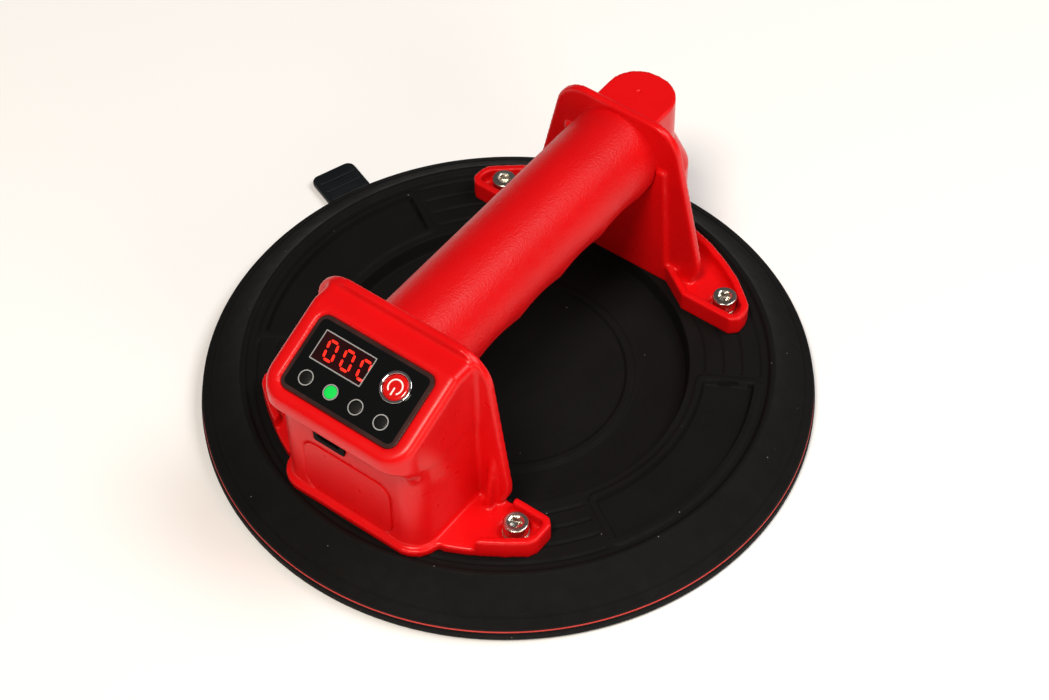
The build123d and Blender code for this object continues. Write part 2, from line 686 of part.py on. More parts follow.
with BuildPart() as control_board:
    with BuildSketch(PANEL.offset(BOARD_TOP)):
        RectangleRounded(BOARD_W, BOARD_H, 1)
        with Locations(*BOARD_SPOTS):
            Circle(1.1, mode=Mode.SUBTRACT)
    extrude(amount=-BOARD_T)
save(control_board.part, "control_board")

with BuildPart() as board_screws:
    with BuildSketch(PANEL.offset(BOARD_TOP - BOARD_T)):
        with Locations(*BOARD_SPOTS):
            Circle(1.7)
    extrude(amount=-1.3)
    with BuildSketch(PANEL.offset(BOARD_TOP - BOARD_T)):
        with Locations(*BOARD_SPOTS):
            Circle(BOARD_SCREW_R)
    extrude(amount=BOARD_T + 3.5)
save(board_screws.part, "board_screws")

with BuildPart() as display_module:
    with BuildSketch(PANEL.offset(BOARD_TOP)):
        with Locations((DISPLAY_U, DISPLAY_V)):
            Rectangle(DISPLAY_W, DISPLAY_H)
    extrude(amount=-BOARD_TOP - WINDOW_SUNK - WINDOW_T - OVERLAY_T)
save(display_module.part, "display_module")

with BuildPart() as status_leds:
    with BuildSketch(PANEL.offset(BOARD_TOP)):
        with Locations(*[(u, LED_V) for u in LED_U]):
            Circle(LED_R)
    extrude(amount=-BOARD_TOP - WINDOW_SUNK - WINDOW_T - OVERLAY_T)
save(status_leds.part, "status_leds")

# ================================================================ charge port
with BuildPart() as port_surround:
    with BuildSketch(front_plane):
        with Locations((PORT_X, PORT_Z)):
            RectangleRounded(PORT_W - 2 * FIT, PORT_H - 2 * FIT, 0.7)
    extrude(amount=-WALL)
    with BuildSketch(front_plane.offset(-WALL)):
        with Locations((PORT_X, PORT_Z)):
            RectangleRounded(PORT_W + 2, PORT_H + 2, 0.8)
    extrude(amount=-(PORT_T - WALL))
    with BuildSketch(front_plane):
        with Locations((PORT_X, PORT_Z)):
            SlotOverall(SOCKET_W + 2 * FIT, SOCKET_H + 2 * FIT)
    extrude(amount=-PORT_T, mode=Mode.SUBTRACT)
save(port_surround.part, "port_surround")

with BuildPart() as charge_socket:
    with BuildSketch(front_plane.offset(-0.8)):
        with Locations((PORT_X, PORT_Z)):
            SlotOverall(SOCKET_W, SOCKET_H)
            SlotOverall(SOCKET_W - 2 * SOCKET_WALL, SOCKET_H - 2 * SOCKET_WALL,
                        mode=Mode.SUBTRACT)
    extrude(amount=-SOCKET_L)
    with BuildSketch(front_plane.offset(-0.8 - SOCKET_L)):
        with Locations((PORT_X, PORT_Z)):
            SlotOverall(SOCKET_W, SOCKET_H)
    extrude(amount=-1)
save(charge_socket.part, "charge_socket")

with BuildPart() as charge_board:
    with BuildSketch(front_plane.offset(-PORT_T)):
        with Locations((PORT_X, PORT_Z - SOCKET_H / 2 - 0.6)):
            Rectangle(14, 1.2)
    extrude(amount=-CHARGE_BOARD_L)
save(charge_board.part, "charge_board")

# ================================================================ grip
with BuildPart() as handle_grip:
    with BuildSketch(Plane.XZ.offset(-NEAR_Y)):
        with Locations((0, GRIP_Z)):
            Circle(GRIP_R)
            Circle(GRIP_BORE, mode=Mode.SUBTRACT)
    extrude(amount=-GRIP_L)
    # bosses for the tie screws at both ends
    for start, along in ((NEAR_Y + SPIGOT_L + 1, 1), (FAR_Y - SPIGOT_L - 1, -1)):
        with BuildSketch(Plane.XZ.offset(-start)):
            with Locations(*TIE_SPOTS):
                Circle(TIE_BOSS_R)
        extrude(amount=-along * TIE_BOSS_L)
        with BuildSketch(Plane.XZ.offset(-start)):
            with Locations(*TIE_SPOTS):
                Circle(TIE_R + RUN)
        extrude(amount=-along * TIE_BOSS_L, mode=Mode.SUBTRACT)
    # finger grooves along the underside
    groove_r = (GROOVE_PITCH - GROOVE_LAND)**2 / (8 * GROOVE_DEPTH) + GROOVE_DEPTH / 2
    with BuildSketch(Plane.YZ):
        for number in range(GROOVE_COUNT):
            with Locations((GROOVE_FIRST + number * GROOVE_PITCH,
                            GRIP_Z - GRIP_R + GROOVE_DEPTH - groove_r)):
                Circle(groove_r)
    extrude(amount=GRIP_R, both=True, mode=Mode.SUBTRACT)
save(handle_grip.part, "handle_grip")

with BuildPart() as tie_screws:
    for seat, along in ((FLANGE_BACK, 1), (COLUMN_START, -1)):
        with BuildSketch(Plane.XZ.offset(-seat)):
            with Locations(*TIE_SPOTS):
                Circle(TIE_HEAD_R)
        extrude(amount=along * TIE_HEAD_H)
        with BuildSketch(Plane.XZ.offset(-seat)):
            with Locations(*TIE_SPOTS):
                Circle(TIE_R)
        extrude(amount=-along * TIE_LENGTH)
save(tie_screws.part, "tie_screws")

cell_start = GRIP_MID - CELL_L / 2
with BuildPart() as battery_cell:
    with BuildSketch(Plane.XZ.offset(-cell_start)):
        with Locations((0, GRIP_Z)):
            Circle(CELL_R)
    extrude(amount=-CELL_L)
save(battery_cell.part, "battery_cell")

with BuildPart() as battery_cradle:
    cradle_l = CELL_L + 2 * CONTACT_T
    with BuildSketch(Plane.XZ.offset(-(cell_start - CONTACT_T))) as cradle_end:
        with Locations((0, GRIP_Z)):
            Circle(CELL_R + FIT + CRADLE_WALL)
            Circle(CELL_R + FIT, mode=Mode.SUBTRACT)
        with Locations((0, GRIP_Z + CELL_R + 2)):
            Rectangle(4 * CELL_R, 2 * CELL_R, mode=Mode.SUBTRACT)
    extrude(amount=-cradle_l)
    # keel that rests on the grip's wall
    with BuildSketch(Plane.XZ.offset(-(cell_start - CONTACT_T))):
        keel_high = CELL_R + FIT + CRADLE_WALL / 2
        with Locations((0, GRIP_Z - (GRIP_BORE + keel_high) / 2)):
            Rectangle(3, GRIP_BORE - keel_high)
        with Locations((0, GRIP_Z)):
            Circle(GRIP_BORE - FIT / 2, mode=Mode.INTERSECT)
    extrude(amount=-cradle_l)
save(battery_cradle.part, "battery_cradle")

with BuildPart() as battery_contacts:
    for start in (cell_start - CONTACT_T, cell_start + CELL_L):
        with BuildSketch(Plane.XZ.offset(-start)):
            with Locations((0, GRIP_Z)):
                Circle(4.0)
        extrude(amount=-CONTACT_T)
save(battery_contacts.part, "battery_contacts")

# ================================================================ rear bracket
far_tray = [
    (0, FAR_Y - WALL_PAD_T), (WALL_PAD_FOOT, FAR_Y - WALL_PAD_T), (35.0, FAR_Y - 8.8),
    (FAR_FOOT_X - 2.6, FAR_Y - 8.8),
    (FAR_FOOT_X, FAR_Y - 6.2), (FAR_FOOT_X, FAR_Y - 2.5), (FAR_FOOT_X - 1.2, FAR_Y + 1.0),
    (FAR_FOOT_X - 5.7, FAR_Y + 4.8), (FAR_FOOT_X - 10.9, FAR_Y + 8.9),
    (FAR_FOOT_X - 18.9, FAR_Y + 13.4), (FAR_FOOT_X - 28.0, FAR_Y + 17.4),
    (SOCKLE_HALF, FAR_Y + 20.6), (0, FAR_Y + 20.6),
]
column_end = FAR_Y + COLUMN_END
sockle_end = FAR_Y + SOCKLE_END
with BuildPart() as rear_bracket:
    with BuildSketch(Plane.XY.offset(DECK_Z)):
        mirrored_outline(far_tray)
    extrude(amount=TRAY_T)
    with BuildSketch(Plane.XY.offset(DECK_Z)):
        mirrored_outline(far_tray)
        offset(amount=-TRAY_RIM, mode=Mode.SUBTRACT)
    extrude(amount=TRAY_HEIGHT)
    with BuildSketch(Plane.XZ.offset(-FAR_Y)) as far_flange:
        with BuildLine():
            Polyline((-FAR_FLANGE_FOOT, DECK_Z), (FAR_FLANGE_FOOT, DECK_Z),
                     (FAR_FLANGE_TOP, FAR_FLANGE_Z), (-FAR_FLANGE_TOP, FAR_FLANGE_Z),
                     close=True)
        make_face()
        fillet(far_flange.vertices().group_by(Axis.Z)[-1], FAR_FLANGE_CORNER)
    extrude(amount=-FLANGE_T)
    # the flange's middle, thickened on the handle side and cut round the grip
    with BuildSketch(Plane.XZ.offset(-FAR_Y)):
        with BuildLine():
            Polyline((-WALL_PAD_FOOT, DECK_Z), (WALL_PAD_FOOT, DECK_Z),
                     (WALL_PAD_TOP, WALL_PAD_Z), (-WALL_PAD_TOP, WALL_PAD_Z), close=True)
        make_face()
        with Locations((0, GRIP_Z)):
            Circle(GRIP_R + FIT, mode=Mode.SUBTRACT)
    extrude(amount=WALL_PAD_T)
    # column: wide sockle, blend, narrow upper part
    for half, end, corner, start, height in (
        (SOCKLE_HALF, sockle_end, SOCKLE_CORNER, DECK_Z, SOCKLE_TOP - DECK_Z),
        (COLUMN_HALF, column_end, COLUMN_HALF - 0.5, SOCKLE_TOP + SOCKLE_BLEND,
         COLUMN_TOP - SOCKLE_TOP - SOCKLE_BLEND),
    ):
        with BuildSketch(Plane.XY.offset(start)):
            column_plan(half, end, corner)
        extrude(amount=height)
    with BuildPart(mode=Mode.PRIVATE) as column_blend:
        with BuildSketch(Plane.XY.offset(SOCKLE_TOP)):
            column_plan(SOCKLE_HALF, sockle_end, SOCKLE_CORNER)
        with BuildSketch(Plane.XY.offset(SOCKLE_TOP + SOCKLE_BLEND)):
            column_plan(COLUMN_HALF, column_end, COLUMN_HALF - 0.5)
        loft()
    add(column_blend.part)
    # hollow inside, one straight core up to under the top
    with BuildSketch(Plane.XY.offset(DECK_Z)):
        with BuildLine():
            Polyline((SOCKLE_HALF - WALL, COLUMN_START), (SOCKLE_HALF - WALL, sockle_end - WALL),
                     (WALL - SOCKLE_HALF, sockle_end - WALL), (WALL - SOCKLE_HALF, COLUMN_START),
                     close=True)
        sockle_core = make_face()
        fillet(sockle_core.vertices().group_by(Axis.Y)[-1], SOCKLE_CORNER - WALL)
    extrude(amount=SOCKLE_TOP - DECK_Z - WALL, mode=Mode.SUBTRACT)
    with BuildSketch(Plane.XY.offset(DECK_Z)):
        with BuildLine():
            Polyline((COLUMN_HALF - WALL, COLUMN_START), (COLUMN_HALF - WALL, column_end - WALL),
                     (WALL - COLUMN_HALF, column_end - WALL), (WALL - COLUMN_HALF, COLUMN_START),
                     close=True)
        column_core = make_face()
        fillet(column_core.vertices().group_by(Axis.Y)[-1], COLUMN_HALF - WALL - 0.5)
    extrude(amount=COLUMN_TOP - DECK_Z - WALL, mode=Mode.SUBTRACT)
    with BuildSketch(Plane.XZ.offset(-FAR_Y)):
        with Locations(*TIE_SPOTS):
            Circle(TIE_R + FIT)
    extrude(amount=-FLANGE_T, mode=Mode.SUBTRACT)
    with BuildSketch(Plane.XZ.offset(-FAR_Y)):
        with Locations((0, GRIP_Z)):
            Circle(GRIP_BORE - FIT)
            Circle(GRIP_BORE - FIT - SPIGOT_T, mode=Mode.SUBTRACT)
    extrude(amount=SPIGOT_L)
    with BuildSketch(Plane.XY.offset(DECK_Z)):
        with Locations((-SCREW_X, SCREW_FAR_Y), (SCREW_X, SCREW_FAR_Y)):
            Circle(M5_R + 2 * FIT)
    extrude(amount=SEAT_T, mode=Mode.SUBTRACT)
    with BuildSketch(Plane.XY.offset(SEAT_Z)):
        with Locations((-SCREW_X, SCREW_FAR_Y), (SCREW_X, SCREW_FAR_Y)):
            Circle(COUNTERBORE_R)
    extrude(amount=TRAY_T - SEAT_T, mode=Mode.SUBTRACT)
save(rear_bracket.part, "rear_bracket")

with BuildPart() as sockle_floor:
    with BuildSketch(Plane.XY.offset(DECK_Z)):
        with BuildLine():
            Polyline((SOCKLE_HALF - WALL - FIT, COLUMN_START + FIT),
                     (SOCKLE_HALF - WALL - FIT, sockle_end - WALL - FIT),
                     (WALL + FIT - SOCKLE_HALF, sockle_end - WALL - FIT),
                     (WALL + FIT - SOCKLE_HALF, COLUMN_START + FIT), close=True)
        floor_face = make_face()
        fillet(floor_face.vertices().group_by(Axis.Y)[-1], SOCKLE_CORNER - WALL)
    extrude(amount=WALL)
save(sockle_floor.part, "sockle_floor")

# ================================================================ pump
motor_plane = Plane.YZ.offset(MOTOR_LEFT)
with BuildPart() as motor_can:
    with BuildSketch(motor_plane):
        with Locations((PUMP_Y, PUMP_Z)):
            Circle(MOTOR_R)
            Circle(BUSH_R, mode=Mode.SUBTRACT)
    extrude(amount=MOTOR_L)
    with BuildSketch(motor_plane.offset(MOTOR_WALL)):
        with Locations((PUMP_Y, PUMP_Z)):
            Circle(MOTOR_R - MOTOR_WALL)
    extrude(amount=MOTOR_L - 2 * MOTOR_WALL, mode=Mode.SUBTRACT)
save(motor_can.part, "motor_can")

with BuildPart() as motor_magnets:
    with BuildSketch(motor_plane.offset(4)):
        with Locations((PUMP_Y, PUMP_Z)):
            Circle(MOTOR_R - MOTOR_WALL)
            Circle(MOTOR_R - MOTOR_WALL - MAGNET_T, mode=Mode.SUBTRACT)
            Rectangle(2 * MOTOR_R, 5, mode=Mode.SUBTRACT)
    extrude(amount=MOTOR_L - 8)
save(motor_magnets.part, "motor_magnets")

with BuildPart() as shaft_bushes:
    for start in (MOTOR_LEFT, MOTOR_RIGHT - BUSH_L):
        with BuildSketch(Plane.YZ.offset(start)):
            with Locations((PUMP_Y, PUMP_Z)):
                Circle(BUSH_R)
                Circle(SHAFT_R + RUN, mode=Mode.SUBTRACT)
        extrude(amount=BUSH_L)
save(shaft_bushes.part, "shaft_bushes")

with BuildPart() as motor_rotor:
    with BuildSketch(motor_plane.offset(BUSH_L + 1.5)):
        with Locations((PUMP_Y, PUMP_Z)):
            Circle(ROTOR_R)
    extrude(amount=MOTOR_L - 2 * BUSH_L - 3)
    with BuildSketch(motor_plane):
        with Locations((PUMP_Y, PUMP_Z)):
            Circle(SHAFT_R)
    extrude(amount=MOTOR_L + 3 + CRANK_L)
save(motor_rotor.part, "motor_rotor")

with BuildPart() as crank_pin:
    with BuildSketch(Plane.YZ.offset(MOTOR_RIGHT + 3)):
        with Locations((PUMP_Y, PUMP_Z + CRANK_OFFSET)):
            Circle(CRANK_R)
        with Locations((PUMP_Y, PUMP_Z)):
            Circle(SHAFT_R, mode=Mode.SUBTRACT)
    extrude(amount=CRANK_L)
save(crank_pin.part, "crank_pin")

crank_sweep = CRANK_R + CRANK_OFFSET + 0.15
with BuildPart() as pump_head:
    with BuildSketch(Plane.YZ.offset(HEAD_LEFT)):
        with Locations((PUMP_Y, PUMP_Z + (HEAD_ABOVE - HEAD_BELOW) / 2)):
            Rectangle(HEAD_Y, HEAD_ABOVE + HEAD_BELOW)
    extrude(amount=HEAD_L)
    with BuildSketch(Plane.YZ.offset(HEAD_LEFT)):
        with Locations((PUMP_Y, PUMP_Z)):
            Circle(crank_sweep + 2.6)
    extrude(amount=HEAD_L - 2, mode=Mode.SUBTRACT)
    with BuildSketch(Plane.XY.offset(PUMP_Z)):
        with Locations((HEAD_LEFT + HEAD_L / 2, PUMP_Y)):
            Circle(5.2)
    extrude(amount=HEAD_ABOVE, mode=Mode.SUBTRACT)
save(pump_head.part, "pump_head")

with BuildPart() as connecting_rod:
    with BuildSketch(Plane.YZ.offset(MOTOR_RIGHT + 3)):
        with Locations((PUMP_Y, PUMP_Z)):
            Circle(crank_sweep + 1.6)
            Circle(crank_sweep, mode=Mode.SUBTRACT)
    extrude(amount=CRANK_L)
    with BuildSketch(Plane.XY.offset(PUMP_Z + crank_sweep + 0.8)):
        with Locations((HEAD_LEFT + HEAD_L / 2, PUMP_Y)):
            Circle(1.8)
    extrude(amount=HEAD_ABOVE - crank_sweep - 0.8)
save(connecting_rod.part, "connecting_rod")

with BuildPart() as pump_diaphragm:
    with BuildSketch(Plane.XY.offset(DIAPHRAGM_Z)):
        with Locations((HEAD_LEFT + HEAD_L / 2, PUMP_Y)):
            Rectangle(HEAD_L, HEAD_Y)
    extrude(amount=DIAPHRAGM_T)
save(pump_diaphragm.part, "pump_diaphragm")

with BuildPart() as valve_cover:
    with BuildSketch(Plane.XY.offset(COVER_Z)):
        with Locations((HEAD_LEFT + HEAD_L / 2, PUMP_Y)):
            Rectangle(HEAD_L, HEAD_Y)
    extrude(amount=VALVE_COVER_T)
    with BuildSketch(Plane.XY.offset(COVER_Z + VALVE_COVER_T)):
        with Locations((PUMP_NIPPLE_X, PORT_LINE_Y[0])):
            Circle(NIPPLE_R)
    extrude(amount=4)
    with BuildSketch(Plane.XY.offset(COVER_Z)):
        with Locations((PUMP_NIPPLE_X, PORT_LINE_Y[0])):
            Circle(NIPPLE_BORE)
    extrude(amount=VALVE_COVER_T + 4, mode=Mode.SUBTRACT)
save(valve_cover.part, "valve_cover")

with BuildPart() as pump_cradle:
    cradle_top = VALVE_Z - VALVE_W / 2
    cradle_spots = (MOTOR_LEFT + 2, MOTOR_RIGHT - 8)
    for start in cradle_spots:
        with BuildSketch(Plane.YZ.offset(start)):
            with Locations((PUMP_Y, (cradle_top + FLOOR_TOP) / 2)):
                Rectangle(2 * MOTOR_R + 2.4, cradle_top - FLOOR_TOP)
            with Locations((PUMP_Y, PUMP_Z)):
                Circle(MOTOR_R + RUN, mode=Mode.SUBTRACT)
        extrude(amount=CRADLE_T)
    with BuildSketch(Plane.XY.offset(FLOOR_TOP)):
        with Locations(((cradle_spots[0] + cradle_spots[1] + CRADLE_T) / 2, PUMP_Y)):
            Rectangle(cradle_spots[1] - cradle_spots[0] + CRADLE_T, 2 * MOTOR_R + 2.4)
    extrude(amount=CRADLE_BASE)
    with BuildSketch(Plane.XY.offset(cradle_top)):
        with Locations(((cradle_spots[0] + cradle_spots[1] + CRADLE_T) / 2, PUMP_Y)):
            Rectangle(cradle_spots[1] - cradle_spots[0] + CRADLE_T, 2 * MOTOR_R + 2.4)
    extrude(amount=-2)
    # room for the charge socket in front of the valve's shelf
    with BuildSketch(Plane.XY.offset(PORT_Z - SOCKET_ROOM)):
        with Locations((MOTOR_LEFT, PORT_LINE_Y[1] - VALVE_W / 2 - MOTOR_R)):
            Rectangle(4 * MOTOR_R, 2 * MOTOR_R - 1)
    extrude(amount=2 * SOCKET_ROOM, mode=Mode.SUBTRACT)
save(pump_cradle.part, "pump_cradle")

# ================================================================ air lines and valve
with BuildPart() as suction_manifold:
    line_mid = (PORT_LINE_Y[0] + PORT_LINE_Y[-1]) / 2
    with BuildSketch(Plane.XY.offset(FLOOR_TOP)):
        with Locations((MANIFOLD_X, line_mid)):
            Rectangle(MANIFOLD_W, PORT_LINE_Y[0] - PORT_LINE_Y[-1] + 6)
    extrude(amount=MANIFOLD_Z - FLOOR_TOP)
    with BuildSketch(Plane.XY.offset(MANIFOLD_Z)):
        with Locations(*[(MANIFOLD_X, y) for y in PORT_LINE_Y]):
            Circle(NIPPLE_R)
    extrude(amount=NIPPLE_L)
    with BuildSketch(Plane.XY.offset(PLATE_GAP + FILTER_T)):
        with Locations((MANIFOLD_X, PORT_LINE_Y[0])):
            Circle(PORT_TUBE_R)
    extrude(amount=FLOOR_TOP - PLATE_GAP - FILTER_T)
    with BuildSketch(Plane.XY.offset(PLATE_GAP)):
        with Locations((MANIFOLD_X, PORT_LINE_Y[0])):
            Circle(PORT_TUBE_BORE)
    extrude(amount=MANIFOLD_Z - PLATE_GAP - 3, mode=Mode.SUBTRACT)
    with BuildSketch(Plane.XY.offset(MANIFOLD_Z - 4)):
        with Locations((MANIFOLD_X, line_mid)):
            Rectangle(2 * NIPPLE_BORE, PORT_LINE_Y[0] - PORT_LINE_Y[-1] + 2 * NIPPLE_BORE)
    extrude(amount=2, mode=Mode.SUBTRACT)
    with BuildSketch(Plane.XY.offset(MANIFOLD_Z - 3)):
        with Locations(*[(MANIFOLD_X, y) for y in PORT_LINE_Y]):
            Circle(NIPPLE_BORE)
    extrude(amount=NIPPLE_L + 3, mode=Mode.SUBTRACT)
save(suction_manifold.part, "suction_manifold")

with BuildPart() as port_filter:
    with BuildSketch(Plane.XY.offset(PLATE_GAP)):
        with Locations((MANIFOLD_X, PORT_LINE_Y[0])):
            Circle(PORT_TUBE_R)
    extrude(amount=FILTER_T)
save(port_filter.part, "port_filter")

hose_end = COVER_Z + VALVE_COVER_T + 0.4
hose_start = MANIFOLD_Z + 0.4
with BuildPart() as pump_hose:
    with BuildLine() as pump_route:
        FilletPolyline(
            (MANIFOLD_X, PORT_LINE_Y[0], hose_start), (MANIFOLD_X, PORT_LINE_Y[0], HOSE_TOP),
            (PUMP_NIPPLE_X, PORT_LINE_Y[0], HOSE_TOP), (PUMP_NIPPLE_X, PORT_LINE_Y[0], hose_end),
            radius=5.0)
    with BuildSketch(Plane(origin=(MANIFOLD_X, PORT_LINE_Y[0], hose_start), z_dir=(0, 0, 1))):
        Circle(HOSE_R)
        Circle(NIPPLE_R + RUN, mode=Mode.SUBTRACT)
    sweep()
save(pump_hose.part, "pump_hose")

valve_right = VALVE_LEFT + VALVE_L
plunger_tip = valve_right + PLUNGER_OUT
seat_left = plunger_tip + 0.05
with BuildPart() as valve_hose:
    hose_left = seat_left + SEAT_L + 0.4
    with BuildLine() as valve_route:
        FilletPolyline((MANIFOLD_X, PORT_LINE_Y[1], hose_start),
                       (MANIFOLD_X, PORT_LINE_Y[1], VALVE_Z),
                       (hose_left, PORT_LINE_Y[1], VALVE_Z), radius=7.0)
    with BuildSketch(Plane(origin=(MANIFOLD_X, PORT_LINE_Y[1], hose_start), z_dir=(0, 0, 1))):
        Circle(HOSE_R)
        Circle(NIPPLE_R + RUN, mode=Mode.SUBTRACT)
    sweep()
save(valve_hose.part, "valve_hose")

with BuildPart() as sensor_hose:
    with BuildSketch(Plane.XY.offset(hose_start)):
        with Locations((MANIFOLD_X, PORT_LINE_Y[2])):
            Circle(HOSE_R)
            Circle(NIPPLE_R + RUN, mode=Mode.SUBTRACT)
    extrude(amount=SENSOR_Z - 0.4 - hose_start)
save(sensor_hose.part, "sensor_hose")

with BuildPart() as pressure_sensor:
    with BuildSketch(Plane.XY.offset(SENSOR_Z)):
        with Locations((MANIFOLD_X, PORT_LINE_Y[2])):
            Rectangle(SENSOR_SIDE, SENSOR_SIDE)
    extrude(amount=SENSOR_H)
    with BuildSketch(Plane.XY.offset(SENSOR_Z)):
        with Locations((MANIFOLD_X, PORT_LINE_Y[2])):
            Circle(NIPPLE_R)
    extrude(amount=-5)
save(pressure_sensor.part, "pressure_sensor")

with BuildPart() as release_valve:
    with BuildSketch(Plane.YZ.offset(VALVE_LEFT)):
        with Locations((PORT_LINE_Y[1], VALVE_Z)):
            Rectangle(VALVE_W, VALVE_W)
    extrude(amount=VALVE_L)
    with BuildSketch(Plane.YZ.offset(VALVE_LEFT + 2)):
        with Locations((PORT_LINE_Y[1], VALVE_Z)):
            Circle(PLUNGER_R + RUN)
    extrude(amount=VALVE_L, mode=Mode.SUBTRACT)
save(release_valve.part, "release_valve")

with BuildPart() as valve_plunger:
    with BuildSketch(Plane.YZ.offset(VALVE_LEFT + 2 + PLUNGER_TRAVEL + 0.5)):
        with Locations((PORT_LINE_Y[1], VALVE_Z)):
            Circle(PLUNGER_R)
    extrude(amount=plunger_tip - VALVE_LEFT - 2.5 - PLUNGER_TRAVEL)
    with BuildSketch(Plane.YZ.offset(plunger_tip)):
        with Locations((PORT_LINE_Y[1], VALVE_Z)):
            Circle(PLUNGER_HEAD_R)
    extrude(amount=-PLUNGER_HEAD_T)
save(valve_plunger.part, "valve_plunger")

with BuildPart() as plunger_spring:
    spring_l = PLUNGER_OUT - PLUNGER_HEAD_T - 0.1
    with BuildSketch(Plane.YZ.offset(valve_right + 0.05)):
        with Locations((PORT_LINE_Y[1], VALVE_Z)):
            Circle(PLUNGER_HEAD_R - 0.2)
            Circle(PLUNGER_R + 0.2, mode=Mode.SUBTRACT)
    extrude(amount=spring_l)
save(plunger_spring.part, "plunger_spring")

with BuildPart() as valve_seat:
    with BuildSketch(Plane.YZ.offset(seat_left)):
        with Locations((PORT_LINE_Y[1], VALVE_Z)):
            Circle(SEAT_R)
    extrude(amount=SEAT_L)
    with BuildSketch(Plane.YZ.offset(seat_left + SEAT_L)):
        with Locations((PORT_LINE_Y[1], VALVE_Z)):
            Circle(NIPPLE_R)
    extrude(amount=5)
    with BuildSketch(Plane.YZ.offset(seat_left)):
        with Locations((PORT_LINE_Y[1], VALVE_Z)):
            Circle(NIPPLE_BORE)
    extrude(amount=SEAT_L + 5, mode=Mode.SUBTRACT)
save(valve_seat.part, "valve_seat")
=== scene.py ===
import json
import logging
import math
from dataclasses import dataclass, field
from enum import Enum

import bmesh
import bpy
import numpy as np
from mathutils import Matrix, Vector


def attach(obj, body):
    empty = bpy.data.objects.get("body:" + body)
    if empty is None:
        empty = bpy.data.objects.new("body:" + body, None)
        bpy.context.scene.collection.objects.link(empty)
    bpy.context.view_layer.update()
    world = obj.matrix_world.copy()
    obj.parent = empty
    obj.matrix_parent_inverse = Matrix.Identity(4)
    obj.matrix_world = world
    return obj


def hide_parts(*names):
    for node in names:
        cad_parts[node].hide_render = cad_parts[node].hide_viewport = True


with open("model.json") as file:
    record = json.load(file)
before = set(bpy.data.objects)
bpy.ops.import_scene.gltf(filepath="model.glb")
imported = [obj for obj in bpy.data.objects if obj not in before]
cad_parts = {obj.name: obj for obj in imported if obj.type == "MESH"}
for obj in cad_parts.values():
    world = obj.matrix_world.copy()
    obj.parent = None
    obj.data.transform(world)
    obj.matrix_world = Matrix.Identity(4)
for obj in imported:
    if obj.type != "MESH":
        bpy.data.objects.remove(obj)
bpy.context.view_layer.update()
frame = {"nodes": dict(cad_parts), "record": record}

LOG = logging.getLogger("vacuum_cup")
MM = 0.001  # sizes below are in millimetres
MOTTLE_MM = 18.0  # width of the blobs in which a moulding's colour strays
WEAR_MM = 6.0  # width of the patches in which its gloss strays


# ------------------------------------------------------------------ colours and nodes


def linear(hex_colour: str) -> tuple[float, float, float, float]:
    """Turn an sRGB hex colour into linear RGBA.

    Args:
        hex_colour: Six hex digits, such as "e0140f".

    Returns:
        Linear red, green, blue and an alpha of one.
    """
    def channel(text: str) -> float:
        """One sRGB channel as linear light."""
        value = int(text, 16) / 255
        return value / 12.92 if value <= 0.04045 else ((value + 0.055) / 1.055) ** 2.4

    return (channel(hex_colour[0:2]), channel(hex_colour[2:4]), channel(hex_colour[4:6]), 1.0)


def add_node(tree: bpy.types.NodeTree, kind: str, settings: dict | None = None,
             links: dict | None = None, values: dict | None = None) -> bpy.types.Node:
    """Add one node to a tree with its settings, input values and incoming links.

    Args:
        tree: The material or geometry tree.
        kind: Blender's node type name.
        settings: Properties of the node itself.
        links: Input name or number to the output socket that feeds it.
        values: Input name or number to a constant.

    Returns:
        The new node.
    """
    node = tree.nodes.new(kind)
    for key, value in (settings or {}).items():
        setattr(node, key, value)
    for key, value in (values or {}).items():
        node.inputs[key].default_value = value
    for key, socket in (links or {}).items():
        tree.links.new(socket, node.inputs[key])
    return node


